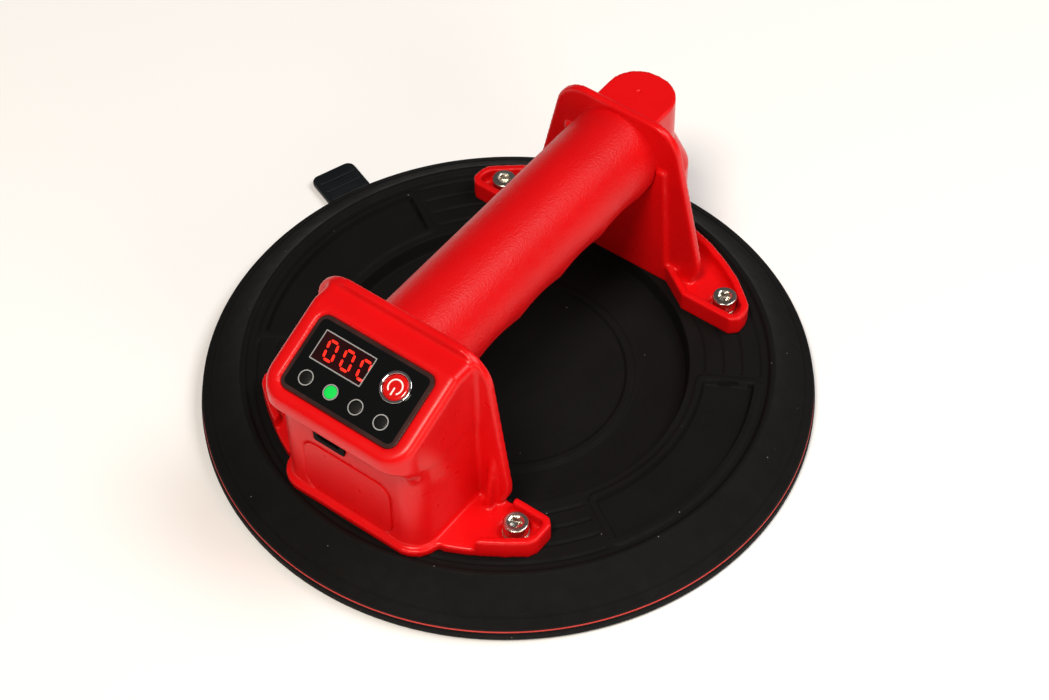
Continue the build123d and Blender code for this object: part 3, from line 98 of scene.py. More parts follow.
@dataclass(frozen=True)
class Finish:
    """A surface finish: what the material is and how its face was made."""

    name: str
    colour: str
    roughness: float
    metallic: float = 0.0
    ior: float = 1.5
    coat: float = 0.0
    shine: float = 0.5  # share of white light that the face throws back
    grain_mm: float = 1.0  # size of the surface grain
    grain_depth: float = 0.02  # height of the grain, in millimetres
    tone: float = 0.06  # how far the colour strays
    gloss_spread: float = 0.05  # how far the roughness strays

    def start(self) -> tuple[bpy.types.Material, bpy.types.Node, bpy.types.NodeSocket]:
        """Make an empty material with its shader and Object coordinates.

        Returns:
            The material, its Principled shader and the coordinate socket.
        """
        material = bpy.data.materials.new(self.name)
        material.use_nodes = True
        tree = material.node_tree
        tree.nodes.clear()
        shader = add_node(tree, "ShaderNodeBsdfPrincipled",
                          values={"Metallic": self.metallic, "IOR": self.ior,
                                  "Specular IOR Level": self.shine,
                                  "Coat Weight": self.coat, "Coat Roughness": 0.08})
        add_node(tree, "ShaderNodeOutputMaterial", links={"Surface": shader.outputs["BSDF"]})
        coordinates = add_node(tree, "ShaderNodeTexCoord").outputs["Object"]
        material.diffuse_color = linear(self.colour)
        return material, shader, coordinates

    def build(self) -> bpy.types.Material:
        """Make the material: mottled colour, uneven gloss and a fine grain.

        Returns:
            The finished material.
        """
        material, shader, coordinates = self.start()
        tree = material.node_tree
        base = linear(self.colour)
        dark = tuple(c * (1 - self.tone) for c in base[:3]) + (1.0,)
        light = tuple(min(1.0, c * (1 + self.tone)) for c in base[:3]) + (1.0,)
        mottle, wear, grain = (
            add_node(tree, "ShaderNodeTexNoise", links={"Vector": coordinates},
                     values={"Scale": 1.0 / (size * MM), "Detail": detail}).outputs["Fac"]
            for size, detail in ((MOTTLE_MM, 3.0), (WEAR_MM, 2.0), (self.grain_mm, 3.0)))
        share = add_node(tree, "ShaderNodeMapRange", links={"Value": mottle},
                         values={"From Min": 0.35, "From Max": 0.65})
        tint = add_node(tree, "ShaderNodeMix", {"data_type": "RGBA"},
                        {"Factor": share.outputs["Result"]}, {"A": dark, "B": light})
        tree.links.new(tint.outputs["Result"], shader.inputs["Base Color"])
        rough = add_node(tree, "ShaderNodeMapRange", links={"Value": wear},
                         values={"From Min": 0.3, "From Max": 0.7,
                                 "To Min": self.roughness - self.gloss_spread,
                                 "To Max": self.roughness + self.gloss_spread})
        tree.links.new(rough.outputs["Result"], shader.inputs["Roughness"])
        bump = add_node(tree, "ShaderNodeBump", links={"Height": grain},
                        values={"Strength": 1.0, "Distance": self.grain_depth * MM})
        tree.links.new(bump.outputs["Normal"], shader.inputs["Normal"])
        return material


@dataclass(frozen=True)
class DustyRubber(Finish):
    """Moulded rubber with pale dust specks caught in its matte face."""

    dust: str = "8a8782"
    speck_mm: float = 5.0  # distance from one speck to the next
    speck_share: float = 0.045  # speck radius as a share of that distance

    def build(self) -> bpy.types.Material:
        """Make the rubber and scatter the specks over its colour.

        Returns:
            The finished material.
        """
        material = Finish.build(self)
        tree = material.node_tree
        shader = next(n for n in tree.nodes if n.type == "BSDF_PRINCIPLED")
        coordinates = next(n for n in tree.nodes if n.type == "TEX_COORD").outputs["Object"]
        cells = add_node(tree, "ShaderNodeTexVoronoi", links={"Vector": coordinates},
                         values={"Scale": 1.0 / (self.speck_mm * MM)})
        speck = add_node(tree, "ShaderNodeMapRange",
                         links={"Value": cells.outputs["Distance"]},
                         values={"From Min": self.speck_share * 0.6,
                                 "From Max": self.speck_share, "To Min": 1.0, "To Max": 0.0})
        few = add_node(tree, "ShaderNodeSeparateColor", links={"Color": cells.outputs["Color"]})
        chosen = add_node(tree, "ShaderNodeMath", {"operation": "GREATER_THAN"},
                          {0: few.outputs["Red"]}, {1: 0.72})
        share = add_node(tree, "ShaderNodeMath", {"operation": "MULTIPLY"},
                         {0: speck.outputs["Result"], 1: chosen.outputs["Value"]})
        old = shader.inputs["Base Color"].links[0].from_socket
        mixed = add_node(tree, "ShaderNodeMix", {"data_type": "RGBA"},
                         {"Factor": share.outputs["Value"], "A": old})
        mixed.inputs["B"].default_value = linear(self.dust)
        tree.links.new(mixed.outputs["Result"], shader.inputs["Base Color"])
        return material


@dataclass(frozen=True)
class SparkEroded(Finish):
    """Plastic moulded in a spark-eroded tool: fine pits that sparkle in a highlight."""

    pit_mm: float = 0.65  # drawn coarser than the tool's 0.3 mm so that it shows
    pit_depth: float = 0.1

    def build(self) -> bpy.types.Material:
        """Make the plastic and lay the pitted grain over it.

        Returns:
            The finished material.
        """
        material = Finish.build(self)
        tree = material.node_tree
        bump = next(n for n in tree.nodes if n.type == "BUMP")
        coordinates = next(n for n in tree.nodes if n.type == "TEX_COORD").outputs["Object"]
        pits = add_node(tree, "ShaderNodeTexVoronoi", {"feature": "SMOOTH_F1"},
                        {"Vector": coordinates},
                        {"Scale": 1.0 / (self.pit_mm * MM), "Smoothness": 0.6})
        tree.links.new(pits.outputs["Distance"], bump.inputs["Height"])
        bump.inputs["Distance"].default_value = self.pit_depth * MM
        return material


@dataclass(frozen=True)
class Lit(Finish):
    """A diffused lens or display segment with light coming out of it."""

    glow: str = "ff2a14"
    strength: float = 1.0

    def build(self) -> bpy.types.Material:
        """Make the lens and light it.

        Returns:
            The finished material.
        """
        material = Finish.build(self)
        shader = next(n for n in material.node_tree.nodes if n.type == "BSDF_PRINCIPLED")
        shader.inputs["Emission Color"].default_value = linear(self.glow)
        shader.inputs["Emission Strength"].default_value = self.strength
        return material


class Lamp(Enum):
    """State of one status lamp."""

    DARK = "dark"
    GREEN = "green"


@dataclass
class Finishes:
    """Every finish of the cup, by the name of its material slot."""

    made: dict[str, bpy.types.Material] = field(default_factory=dict)

    def build(self) -> None:
        """Make one material for each slot, and the few that only new pieces wear."""
        table = {
            # nitrile-like rubber from a matt tool: dull black, dust shows on it
            "black_rubber": DustyRubber("moulded_black_rubber", "0c0c0c", 0.76, ior=1.52,
                                        shine=0.13, grain_mm=0.7, grain_depth=0.01,
                                        tone=0.12),
            # harder rubber of the pull tab: bluish black, a little shinier
            "tab_rubber": Finish("moulded_blue_black_rubber", "0e1216", 0.5, ior=1.52,
                                 shine=0.28, grain_mm=0.8, grain_depth=0.01, tone=0.1),
            # soft red rubber of the warning band
            "red_rubber": Finish("moulded_red_rubber", "c92a20", 0.5, ior=1.52),
            # ABS from a polished tool: clean red with soft wide highlights
            "red_abs": Finish("moulded_red_abs", "dc0a0e", 0.3, ior=1.54, shine=0.24,
                              grain_mm=1.6, grain_depth=0.002, tone=0.03,
                              gloss_spread=0.03),
            # ABS from a spark-eroded tool: the same red, broken into fine sparkle
            "red_abs_grained": SparkEroded("spark_eroded_red_abs", "d2080d", 0.4, ior=1.54,
                                           shine=0.2, tone=0.03),
            # glass-filled nylon: flat black with hardly a highlight
            "black_plastic": Finish("moulded_black_nylon", "0c0c0c", 0.6, shine=0.06,
                                    grain_depth=0.01),
            # acrylic sheet, printed black behind: a deep mirror-like black
            "clear_window": Finish("back_printed_acrylic", "070707", 0.06, ior=1.49, coat=0.5,
                                   grain_depth=0.0005, tone=0.02, gloss_spread=0.02),
            # printed film: even black with a low sheen
            "black_print": Finish("screen_printed_film", "0b0b0c", 0.35, grain_depth=0.002),
            # ABS from a mirror tool: wet-looking red
            "red_button": Finish("polished_red_abs", "d3100c", 0.16, ior=1.54, coat=0.4,
                                 grain_depth=0.001, tone=0.02, gloss_spread=0.03),
            # nickel-chrome plate: bright mirror with a slight orange peel
            "chrome": Finish("chrome_plated_brass", "e8e8e8", 0.1, 1.0, grain_mm=2.0,
                             grain_depth=0.002, tone=0.02, gloss_spread=0.04),
            # cold-headed stainless: bright, with soft drawing marks
            "stainless": Finish("cold_headed_stainless", "d6d0c6", 0.24, 1.0, grain_mm=0.7,
                                grain_depth=0.003, tone=0.05, gloss_spread=0.07),
            # mill-finished sheet: dull silver with a broad sheen
            "aluminium_plate": Finish("rolled_aluminium", "b9babc", 0.38, 1.0, grain_mm=1.5,
                                      grain_depth=0.006),
            # zinc plate: grey metal with a soft highlight
            "steel_tube": Finish("zinc_plated_steel", "aeadab", 0.32, 1.0, grain_depth=0.005),
            # turned bar: yellow metal with fine tool marks
            "brass": Finish("turned_brass", "c9a45c", 0.25, 1.0, grain_mm=0.6,
                            grain_depth=0.004),
            # solder mask over copper: green, faintly uneven
            "circuit_board": Finish("solder_masked_board", "0f4a25", 0.4, grain_mm=2.5,
                                    grain_depth=0.01, tone=0.15),
            # tinted epoxy: almost black with a red depth
            "smoked_lens": Finish("smoked_epoxy", "260507", 0.12, coat=0.3, grain_depth=0.001,
                                   tone=0.3),
            # unlit diffused lens: dark and softly glossy
            "led_lens": Finish("diffused_epoxy", "0c0b0a", 0.3, grain_depth=0.002),
            # extruded silicone: milky grey with a waxy sheen
            "silicone": Finish("extruded_silicone", "b9b8b1", 0.42, ior=1.43, grain_depth=0.01),
            # acetal: off-white with a dull gloss
            "white_plastic": Finish("moulded_white_acetal", "cfcfca", 0.38, grain_depth=0.006),
            # sintered ferrite: charcoal and grainy
            "magnet": Finish("sintered_ferrite", "2b2b2d", 0.6, grain_mm=0.5, grain_depth=0.02),
            # shrunk film: blue with slight ripples
            "cell_wrap": Finish("shrink_wrapped_film", "1d5a86", 0.3, grain_mm=4.0,
                                grain_depth=0.02, tone=0.1),
            # needled felt: pale, fibrous, no highlight
            "filter_felt": Finish("needled_felt", "bdbdb2", 0.95, grain_mm=0.35,
                                  grain_depth=0.08, tone=0.18),
            # worn only by new pieces; bevelled acrylic edge: clear, so its brown-grey colour is a
            # painted highlight standing in for the light lines along the edge
            "acrylic_edge": Finish("polished_acrylic_edge_painted_highlight", "35211f", 0.12, ior=1.49, coat=0.6,
                                   grain_mm=3.0, grain_depth=0.03, tone=0.4,
                                   gloss_spread=0.05),
            # screen ink on the window: flat mid grey
            "grey_print": Finish("grey_screen_print", "9a9a9a", 0.45, grain_depth=0.002),
            # pad-printed ink on the cap: flat warm white
            "white_print": Finish("white_pad_print", "f2e9e6", 0.4, grain_depth=0.002),
            # display bar with its light on: saturated orange-red
            "lit_red": Lit("lit_red_segment", "e01810", 0.3, glow="ff2a18", strength=1.1),
            # lamp with its light on: even bright green
            "lit_green": Lit("lit_green_lens", "0a7a30", 0.3, glow="08d048", strength=0.9),
        }
        for slot, finish in table.items():
            self.made[slot] = finish.build()

    def dress(self, nodes: dict[str, bpy.types.Object], record: dict) -> None:
        """Give every CAD node the finish of its slot.

        Args:
            nodes: The CAD objects by name.
            record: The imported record, which names each node's slot.
        """
        slots = {part["node"]: part["material_slot"] for part in record["subparts"]}
        for name, node in nodes.items():
            node.data.materials.clear()
            node.data.materials.append(self.made[slots[name]])
        LOG.info("finishes: %d materials on %d nodes", len(self.made), len(nodes))


# ------------------------------------------------------------------ mesh helpers


def bridge(rings: list[np.ndarray], closed: bool = False
           ) -> tuple[np.ndarray, list[tuple[int, ...]]]:
    """Join rings of points into a skin.

    Args:
        rings: Arrays of points, all of one length, except poles, which have one point.
        closed: Whether the last ring joins the first.

    Returns:
        The points and the faces.
    """
    starts, faces, total = [], [], 0
    for ring in rings:
        starts.append(total)
        total += len(ring)
    pairs = list(zip(range(len(rings)), range(1, len(rings))))
    if closed:
        pairs.append((len(rings) - 1, 0))
    for a, b in pairs:
        size = max(len(rings[a]), len(rings[b]))
        for i in range(size):
            j = (i + 1) % size
            if len(rings[a]) == 1:
                faces.append((starts[a], starts[b] + j, starts[b] + i))
            elif len(rings[b]) == 1:
                faces.append((starts[a] + i, starts[a] + j, starts[b]))
            else:
                faces.append((starts[a] + i, starts[a] + j, starts[b] + j, starts[b] + i))
    return np.vstack(rings), faces


def circle(radius: float, height: float, steps: int = 192) -> np.ndarray:
    """A level ring of points about the Z axis.

    Args:
        radius: Its radius; 0 gives a pole of one point.
        height: Its Z.
        steps: Number of points.

    Returns:
        The ring of points.
    """
    if radius < 1e-6:
        return np.array([[0.0, 0.0, height]])
    turn = np.arange(steps) * 2 * math.pi / steps
    return np.stack([radius * np.cos(turn), radius * np.sin(turn), np.full(steps, height)], 1)


def rounded(profile: list[tuple[float, float]], cut: float, closed: bool,
            steps: int = 4) -> list[tuple[float, float]]:
    """Round the corners of an outline.

    Args:
        profile: Its corners.
        cut: How far from a corner its curve starts.
        closed: Whether the last corner joins the first.
        steps: Points along each curve, less one.

    Returns:
        The points of the rounded outline.
    """
    out, count = [], len(profile)
    for k, corner in enumerate(profile):
        if not closed and k in (0, count - 1):
            out.append(corner)
            continue
        here = np.array(corner)
        before, after = np.array(profile[k - 1]), np.array(profile[(k + 1) % count])
        to_before, to_after = before - here, after - here
        start = here + to_before * min(0.48, cut / np.linalg.norm(to_before))
        end = here + to_after * min(0.48, cut / np.linalg.norm(to_after))
        for step in range(steps + 1):
            t = step / steps
            out.append(tuple((1 - t)**2 * start + 2 * t * (1 - t) * here + t * t * end))
    return out


def lathe(profile: list[tuple[float, float]], closed: bool,
          steps: int = 192) -> tuple[np.ndarray, list[tuple[int, ...]]]:
    """Turn an outline of (radius, height) about the Z axis."""
    return bridge([circle(r, z, steps) for r, z in profile], closed)


def rounded_rectangle(width: float, height: float, radius: float, level: float,
                      steps: int = 8) -> np.ndarray:
    """A level ring round a rectangle with rounded corners.

    Args:
        width: Size along X.
        height: Size along Y.
        radius: Corner radius.
        level: Its Z.
        steps: Points along each corner, less one.

    Returns:
        The ring of points.
    """
    points = []
    for corner, (sx, sy) in enumerate(((1, 1), (-1, 1), (-1, -1), (1, -1))):
        for step in range(steps + 1):
            turn = math.pi / 2 * (corner + step / steps)
            points.append((sx * (width / 2 - radius) + radius * math.cos(turn),
                           sy * (height / 2 - radius) + radius * math.sin(turn), level))
    return np.array(points)


def make_piece(name: str, points: np.ndarray, faces: list[tuple[int, ...]],
               material: bpy.types.Material, sharp: float = 40.0) -> bpy.types.Object:
    """Make an object from points in millimetres, outward and smooth.

    Args:
        name: The piece's name.
        points: Its points.
        faces: Its faces.
        material: What it is made of.
        sharp: Edges that turn further than this many degrees stay crisp.

    Returns:
        The object, at the origin.
    """
    mesh = bpy.data.meshes.new(name)
    mesh.from_pydata((np.asarray(points) * MM).tolist(), [], faces)
    shell = bmesh.new()
    shell.from_mesh(mesh)
    bmesh.ops.recalc_face_normals(shell, faces=shell.faces)
    shell.to_mesh(mesh)
    shell.free()
    mesh.materials.append(material)
    smooth(mesh, sharp)
    piece = bpy.data.objects.new(name, mesh)
    bpy.context.scene.collection.objects.link(piece)
    return piece


def smooth(mesh: bpy.types.Mesh, sharp: float) -> None:
    """Shade a mesh smooth, but for edges sharper than so many degrees."""
    mesh.shade_smooth()
    mesh.set_sharp_from_angle(angle=math.radians(sharp))


def bake(piece: bpy.types.Object, sharp: float = 40.0) -> None:
    """Turn a piece's modifiers into a plain mesh.

    Args:
        piece: The object; its modifiers are removed.
        sharp: Edges that turn further than this many degrees stay crisp.
    """
    graph = bpy.context.evaluated_depsgraph_get()
    graph.update()
    mesh = bpy.data.meshes.new_from_object(piece.evaluated_get(graph))
    piece.modifiers.clear()
    old, piece.data = piece.data, mesh
    bpy.data.meshes.remove(old)
    mesh.name = piece.name
    smooth(mesh, sharp)


def join(pieces: list[bpy.types.Object]) -> bpy.types.Object:
    """Join the later pieces' faces into the first, and remove them.

    Args:
        pieces: Objects at the origin with one material each.

    Returns:
        The first piece.
    """
    whole = bmesh.new()
    first = pieces[0]
    for index, piece in enumerate(pieces):
        before = len(whole.faces)
        whole.from_mesh(piece.data)
        whole.faces.ensure_lookup_table()
        if piece.data.materials[0] not in list(first.data.materials):
            first.data.materials.append(piece.data.materials[0])
        number = list(first.data.materials).index(piece.data.materials[0])
        if index:
            for face in whole.faces[before:]:
                face.material_index = number
    whole.to_mesh(first.data)
    whole.free()
    for piece in pieces[1:]:
        bpy.data.objects.remove(piece)
    return first


def adopt(piece: bpy.types.Object, body: str, slot: str, *nodes: str) -> None:
    """Hand a finished piece to the frame.

    Args:
        piece: The object.
        body: The body that it rides on.
        slot: Name of a material slot; not used.
        nodes: The CAD nodes that it stands for.
    """
    if nodes:
        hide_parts(*nodes)
    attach(piece, body)
    LOG.info("%s: %d faces on %s", piece.name, len(piece.data.polygons), body)


# ------------------------------------------------------------------ geometry nodes


@dataclass
class Shape:
    """A geometry node tree under way, with named inputs."""

    name: str
    values: dict[str, object] = field(default_factory=dict)

    def __post_init__(self) -> None:
        """Make the tree with its geometry in and out."""
        self.tree = bpy.data.node_groups.new(self.name, "GeometryNodeTree")
        face = self.tree.interface
        face.new_socket(name="Geometry", in_out="INPUT", socket_type="NodeSocketGeometry")
        face.new_socket(name="Geometry", in_out="OUTPUT", socket_type="NodeSocketGeometry")
        self.given = self.tree.nodes.new("NodeGroupInput")
        self.identifiers: dict[str, str] = {}

    def add(self, name: str, kind: str, value: object) -> bpy.types.NodeSocket:
        """Add a named input.

        Args:
            name: Its name.
            kind: Float, Int, Vector or Material.
            value: What the modifier sets it to.

        Returns:
            The socket inside the tree.
        """
        socket = self.tree.interface.new_socket(name=name, in_out="INPUT",
                                                socket_type=f"NodeSocket{kind}")
        self.identifiers[name] = socket.identifier
        self.values[name] = value
        return self.given.outputs[name]

    def run(self, piece: bpy.types.Object, geometry: bpy.types.NodeSocket,
            material: bpy.types.Material) -> None:
        """End the tree, apply it to a piece and leave a plain mesh.

        Args:
            piece: The object that is the tree's input.
            geometry: The last geometry.
            material: What the result is made of.
        """
        wear = self.add("Material", "Material", material)
        real = add_node(self.tree, "GeometryNodeRealizeInstances", links={"Geometry": geometry})
        dressed = add_node(self.tree, "GeometryNodeSetMaterial",
                           links={"Geometry": real.outputs["Geometry"], "Material": wear})
        add_node(self.tree, "NodeGroupOutput",
                 links={"Geometry": dressed.outputs["Geometry"]})
        modifier = piece.modifiers.new(self.name, "NODES")
        modifier.node_group = self.tree
        for name, value in self.values.items():
            modifier[self.identifiers[name]] = value
        bake(piece)


def repeat(piece: bpy.types.Object, count: int, start: tuple[float, float, float],
           step: tuple[float, float, float], material: bpy.types.Material) -> None:
    """Set out copies of a piece along a line, in millimetres.

    Args:
        piece: The first copy, about the origin; it becomes the whole row.
        count: Number of copies.
        start: Place of the first.
        step: From one to the next.
        material: What they are made of.
    """
    shape = Shape(f"row_of_{piece.name}")
    number = shape.add("Count", "Int", count)
    first = shape.add("Start", "Vector", tuple(c * MM for c in start))
    offset = shape.add("Step", "Vector", tuple(c * MM for c in step))
    line = add_node(shape.tree, "GeometryNodeMeshLine",
                    links={"Count": number, "Start Location": first, "Offset": offset})
    copies = add_node(shape.tree, "GeometryNodeInstanceOnPoints",
                      links={"Points": line.outputs["Mesh"],
                             "Instance": shape.given.outputs["Geometry"]})
    shape.run(piece, copies.outputs["Instances"], material)


# ------------------------------------------------------------------ rubber pad


@dataclass
class RubberPad:
    """The round pad, its sealing lip and the red band between them."""

    radius: float = 105.0
    centre_z: float = 7.8
    ring_in: float = 40.5
    ring_width: float = 3.0
    ring_height: float = 0.9
    dish_r: float = 60.6
    dish_z: float = 9.0
    deck_r: float = 62.2
    deck_z: float = 15.0
    ridge_r: float = 90.2
    ridge_half: float = 1.3
    ridge_height: float = 1.3
    pocket_mid: float = 75.65
    pocket_half: float = 11.15
    pocket_angle: float = 30.0
    pocket_corner: float = 3.2
    pocket_rim: float = 2.6
    pocket_proud: float = 0.5
    pocket_depth: float = 1.5
    steps: tuple[float, ...] = (67.0, 73.3, 79.6, 85.9)
    step_depth: float = 0.6
    step_half: float = 0.5
    hairline_r: float = 101.6
    hairline_depth: float = 0.22
    skirt_arc: tuple[tuple[float, float], ...] = ((91.1, 16.3), (95.2, 12.25), (104.3, 6.9))
    rim_width: float = 11.5  # of the band and the lip, in from the edge
    lip_proud: float = 0.5  # how far the lip reaches past the edge
    # start, end and step of the rings, finer where the height changes fast
    spacing: tuple[tuple[float, float, float], ...] = (
        (1.5, 39.0, 3.0), (39.0, 45.0, 0.3), (45.0, 60.0, 1.5), (60.0, 63.0, 0.22),
        (63.0, 92.0, 0.42), (92.0, 100.6, 0.8), (100.6, 102.6, 0.2), (102.6, 104.3, 0.4))
    plate_z: float = 6.6
    plate_r: float = 88.1
    band_z: float = 5.0
    lip_z: float = 4.2

    @staticmethod
    def ease(value: np.ndarray, low: float, high: float) -> np.ndarray:
        """Rise smoothly from 0 at low to 1 at high."""
        t = np.clip((value - low) / (high - low), 0, 1)
        return t * t * (3 - 2 * t)

    def skirt(self, radius: float) -> float:
        """Height of the outer slope.

        Args:
            radius: Distance from the axis.

        Returns:
            The height on the hollow curve from the ridge down to the edge.
        """
        (x1, y1), (x2, y2), (x3, y3) = self.skirt_arc
        a = np.array([[2 * x1, 2 * y1, 1], [2 * x2, 2 * y2, 1], [2 * x3, 2 * y3, 1]])
        b = np.array([x1 * x1 + y1 * y1, x2 * x2 + y2 * y2, x3 * x3 + y3 * y3])
        cx, cy, c = np.linalg.solve(a, b)
        reach = c + cx * cx + cy * cy - (radius - cx)**2
        return cy - math.copysign(math.sqrt(max(reach, 0.0)), cy - y2)

    def height(self, radius: float, turn: np.ndarray) -> np.ndarray:
        """Height of the upper face round one ring.

        Args:
            radius: The ring's radius.
            turn: Angles round it, in radians.

        Returns:
            One height for each angle.
        """
        r = np.full_like(turn, radius)
        level = self.centre_z + (self.dish_z - self.centre_z) * self.ease(
            r, self.ring_in + self.ring_width, self.dish_r)
        level += self.ring_height * (self.ease(r, self.ring_in - 0.5, self.ring_in + 0.5)
                                     - self.ease(r, self.ring_in + self.ring_width - 0.5,
                                                 self.ring_in + self.ring_width + 0.7))
        level += (self.deck_z - self.dish_z) * self.ease(r, self.dish_r, self.deck_r)
        if radius > self.ridge_r:
            fall = max(0.0, radius - self.ridge_r - 0.6)
            level = np.full_like(turn, min(self.deck_z + self.ridge_height,
                                           self.skirt(max(radius, self.skirt_arc[0][0]))
                                           if fall else self.deck_z + self.ridge_height))
        else:
            level += self.ridge_height * self.ease(r, self.ridge_r - self.ridge_half - 0.3,
                                                   self.ridge_r - 0.4)
        level -= self.hairline_depth * (1 - self.ease(np.abs(r - self.hairline_r), 0.1, 0.5))
        if self.deck_r < radius < self.ridge_r:
            across = np.abs((turn + math.pi / 2) % math.pi - math.pi / 2) * radius
            reach = math.radians(self.pocket_angle) * radius
            u = across - (reach - self.pocket_corner)
            v = np.abs(r - self.pocket_mid) - (self.pocket_half - self.pocket_corner)
            gap = (np.hypot(np.maximum(u, 0), np.maximum(v, 0))
                   + np.minimum(np.maximum(u, v), 0) - self.pocket_corner)
            level += self.pocket_proud * (1 - self.ease(gap, -0.5, 0.2))
            level -= (self.pocket_depth + self.pocket_proud) * (
                1 - self.ease(gap, -self.pocket_rim - 0.5, -self.pocket_rim + 0.2))
            beyond = self.ease(across - reach, 1.0, 2.0)
            for step in self.steps:
                near = 1 - self.ease(np.abs(r - step), self.step_half * 0.4,
                                     self.step_half * 1.4)
                level -= self.step_depth * near * beyond
        return level

    def turns(self) -> np.ndarray:
        """Angles round the pad, closer together at the pockets' ends.

        Returns:
            The angles in radians.
        """
        marks, turn = [], 0.0
        while turn < 360.0 - 0.2:
            marks.append(turn)
            near = min(abs((turn + 90) % 180 - 90 - side * self.pocket_angle)
                       for side in (-1, 1))
            turn += 0.3 if near < 4.0 else 0.9
        return np.radians(np.array(marks))

    def radii(self) -> list[float]:
        """Radii of the rings, closer together where the height changes fast.

        Returns:
            The radii from the middle out to the edge.
        """
        out: list[float] = []
        for start, end, step in self.spacing:
            out += list(np.arange(start, end - step / 4, step))
        return out + [self.skirt_arc[-1][0]]

    def build(self, wear: dict[str, bpy.types.Material]) -> None:
        """Make the pad's body, its band and its lip.

        Args:
            wear: The finishes by slot.
        """
        turn = self.turns()

        def ring(radius: float, level: float | None = None) -> np.ndarray:
            """One ring of the skin, at a level or on the upper face."""
            z = self.height(radius, turn) if level is None else np.full_like(turn, level)
            return np.stack([radius * np.cos(turn), radius * np.sin(turn), z], 1)

        rings = [circle(0, self.centre_z)] + [ring(r) for r in self.radii()]
        edge = self.band_z + 1.5
        rings += [ring(104.75, edge + 0.1), ring(self.radius, edge - 0.3),
                  ring(self.radius, self.band_z), ring(self.plate_r, self.band_z),
                  ring(self.plate_r, self.plate_z), circle(0, self.plate_z)]
        body = make_piece("rubber_pad", *bridge(rings), wear["black_rubber"], 60.0)
        adopt(body, "frame", "black_rubber", "pad_body")

        inner = self.radius - self.rim_width
        band = rounded([(inner, self.lip_z), (inner, self.band_z),
                        (self.radius + 0.1, self.band_z), (self.radius + 0.1, self.lip_z)],
                       0.25, True)
        piece = make_piece("warning_band", *lathe(band, True, 360), wear["red_rubber"])
        adopt(piece, "frame", "red_rubber", "indicator_band")
        lip = rounded([(inner, self.lip_z), (inner + 2.5, 0.0), (self.radius - 0.5, 0.0),
                       (self.radius + self.lip_proud, 1.0),
                       (self.radius + self.lip_proud, self.lip_z - 0.5),
                       (self.radius, self.lip_z)], 0.5, True)
        piece = make_piece("sealing_lip", *lathe(lip, True, 360), wear["black_rubber"])
        adopt(piece, "frame", "black_rubber", "seal_lip")


@dataclass
class ReleaseTab:
    """The ribbed rubber tab that peels the lip off a surface."""

    angle: float = 160.0
    root: float = 105.8
    length: float = 16.4
    width: float = 17.5
    low: float = 0.8
    high: float = 3.4
    corner: float = 3.0
    groove: float = 0.6
    rib_first: float = 2.6
    rib_pitch: float = 4.5
    rib_width: float = 1.5
    rib_count: int = 3

    def build(self, wear: dict[str, bpy.types.Material]) -> None:
        """Make the tab with its raised ribs.

        Args:
            wear: The finishes by slot.
        """
        top = self.high - self.groove
        rings = [circle(0, self.low)]
        for inset, level in ((0.5, self.low), (0.12, self.low + 0.15), (0.0, self.low + 0.5),
                             (0.0, top - 0.5), (0.15, top - 0.15), (0.5, top)):
            rings.append(rounded_rectangle(self.length - 2 * inset, self.width - 2 * inset,
                                           self.corner - inset, level))
        rings.append(circle(0, top))
        points, faces = bridge(rings)
        points[:, 0] += self.root + self.length / 2
        tab = make_piece("release_tab_body", points, faces, wear["tab_rubber"])
        rib = [rounded_rectangle(self.rib_width, self.width - 3.0, 0.7, top - 0.2),
               rounded_rectangle(self.rib_width, self.width - 3.0, 0.7, self.high - 0.25),
               rounded_rectangle(self.rib_width - 0.5, self.width - 3.5, 0.45, self.high)]
        rib = [circle(0, top - 0.2)] + rib + [circle(0, self.high)]
        ribs = make_piece("release_tab_ribs", *bridge(rib), wear["tab_rubber"])
        repeat(ribs, self.rib_count, (self.root + self.rib_first, 0, 0),
               (self.rib_pitch, 0, 0), wear["tab_rubber"])
        for piece in (tab, ribs):
            piece.data.transform(Matrix.Rotation(math.radians(self.angle), 4, "Z"))
        adopt(tab, "release_tab", "tab_rubber", "release_tab")
        adopt(ribs, "release_tab", "tab_rubber")


# ------------------------------------------------------------------ grip


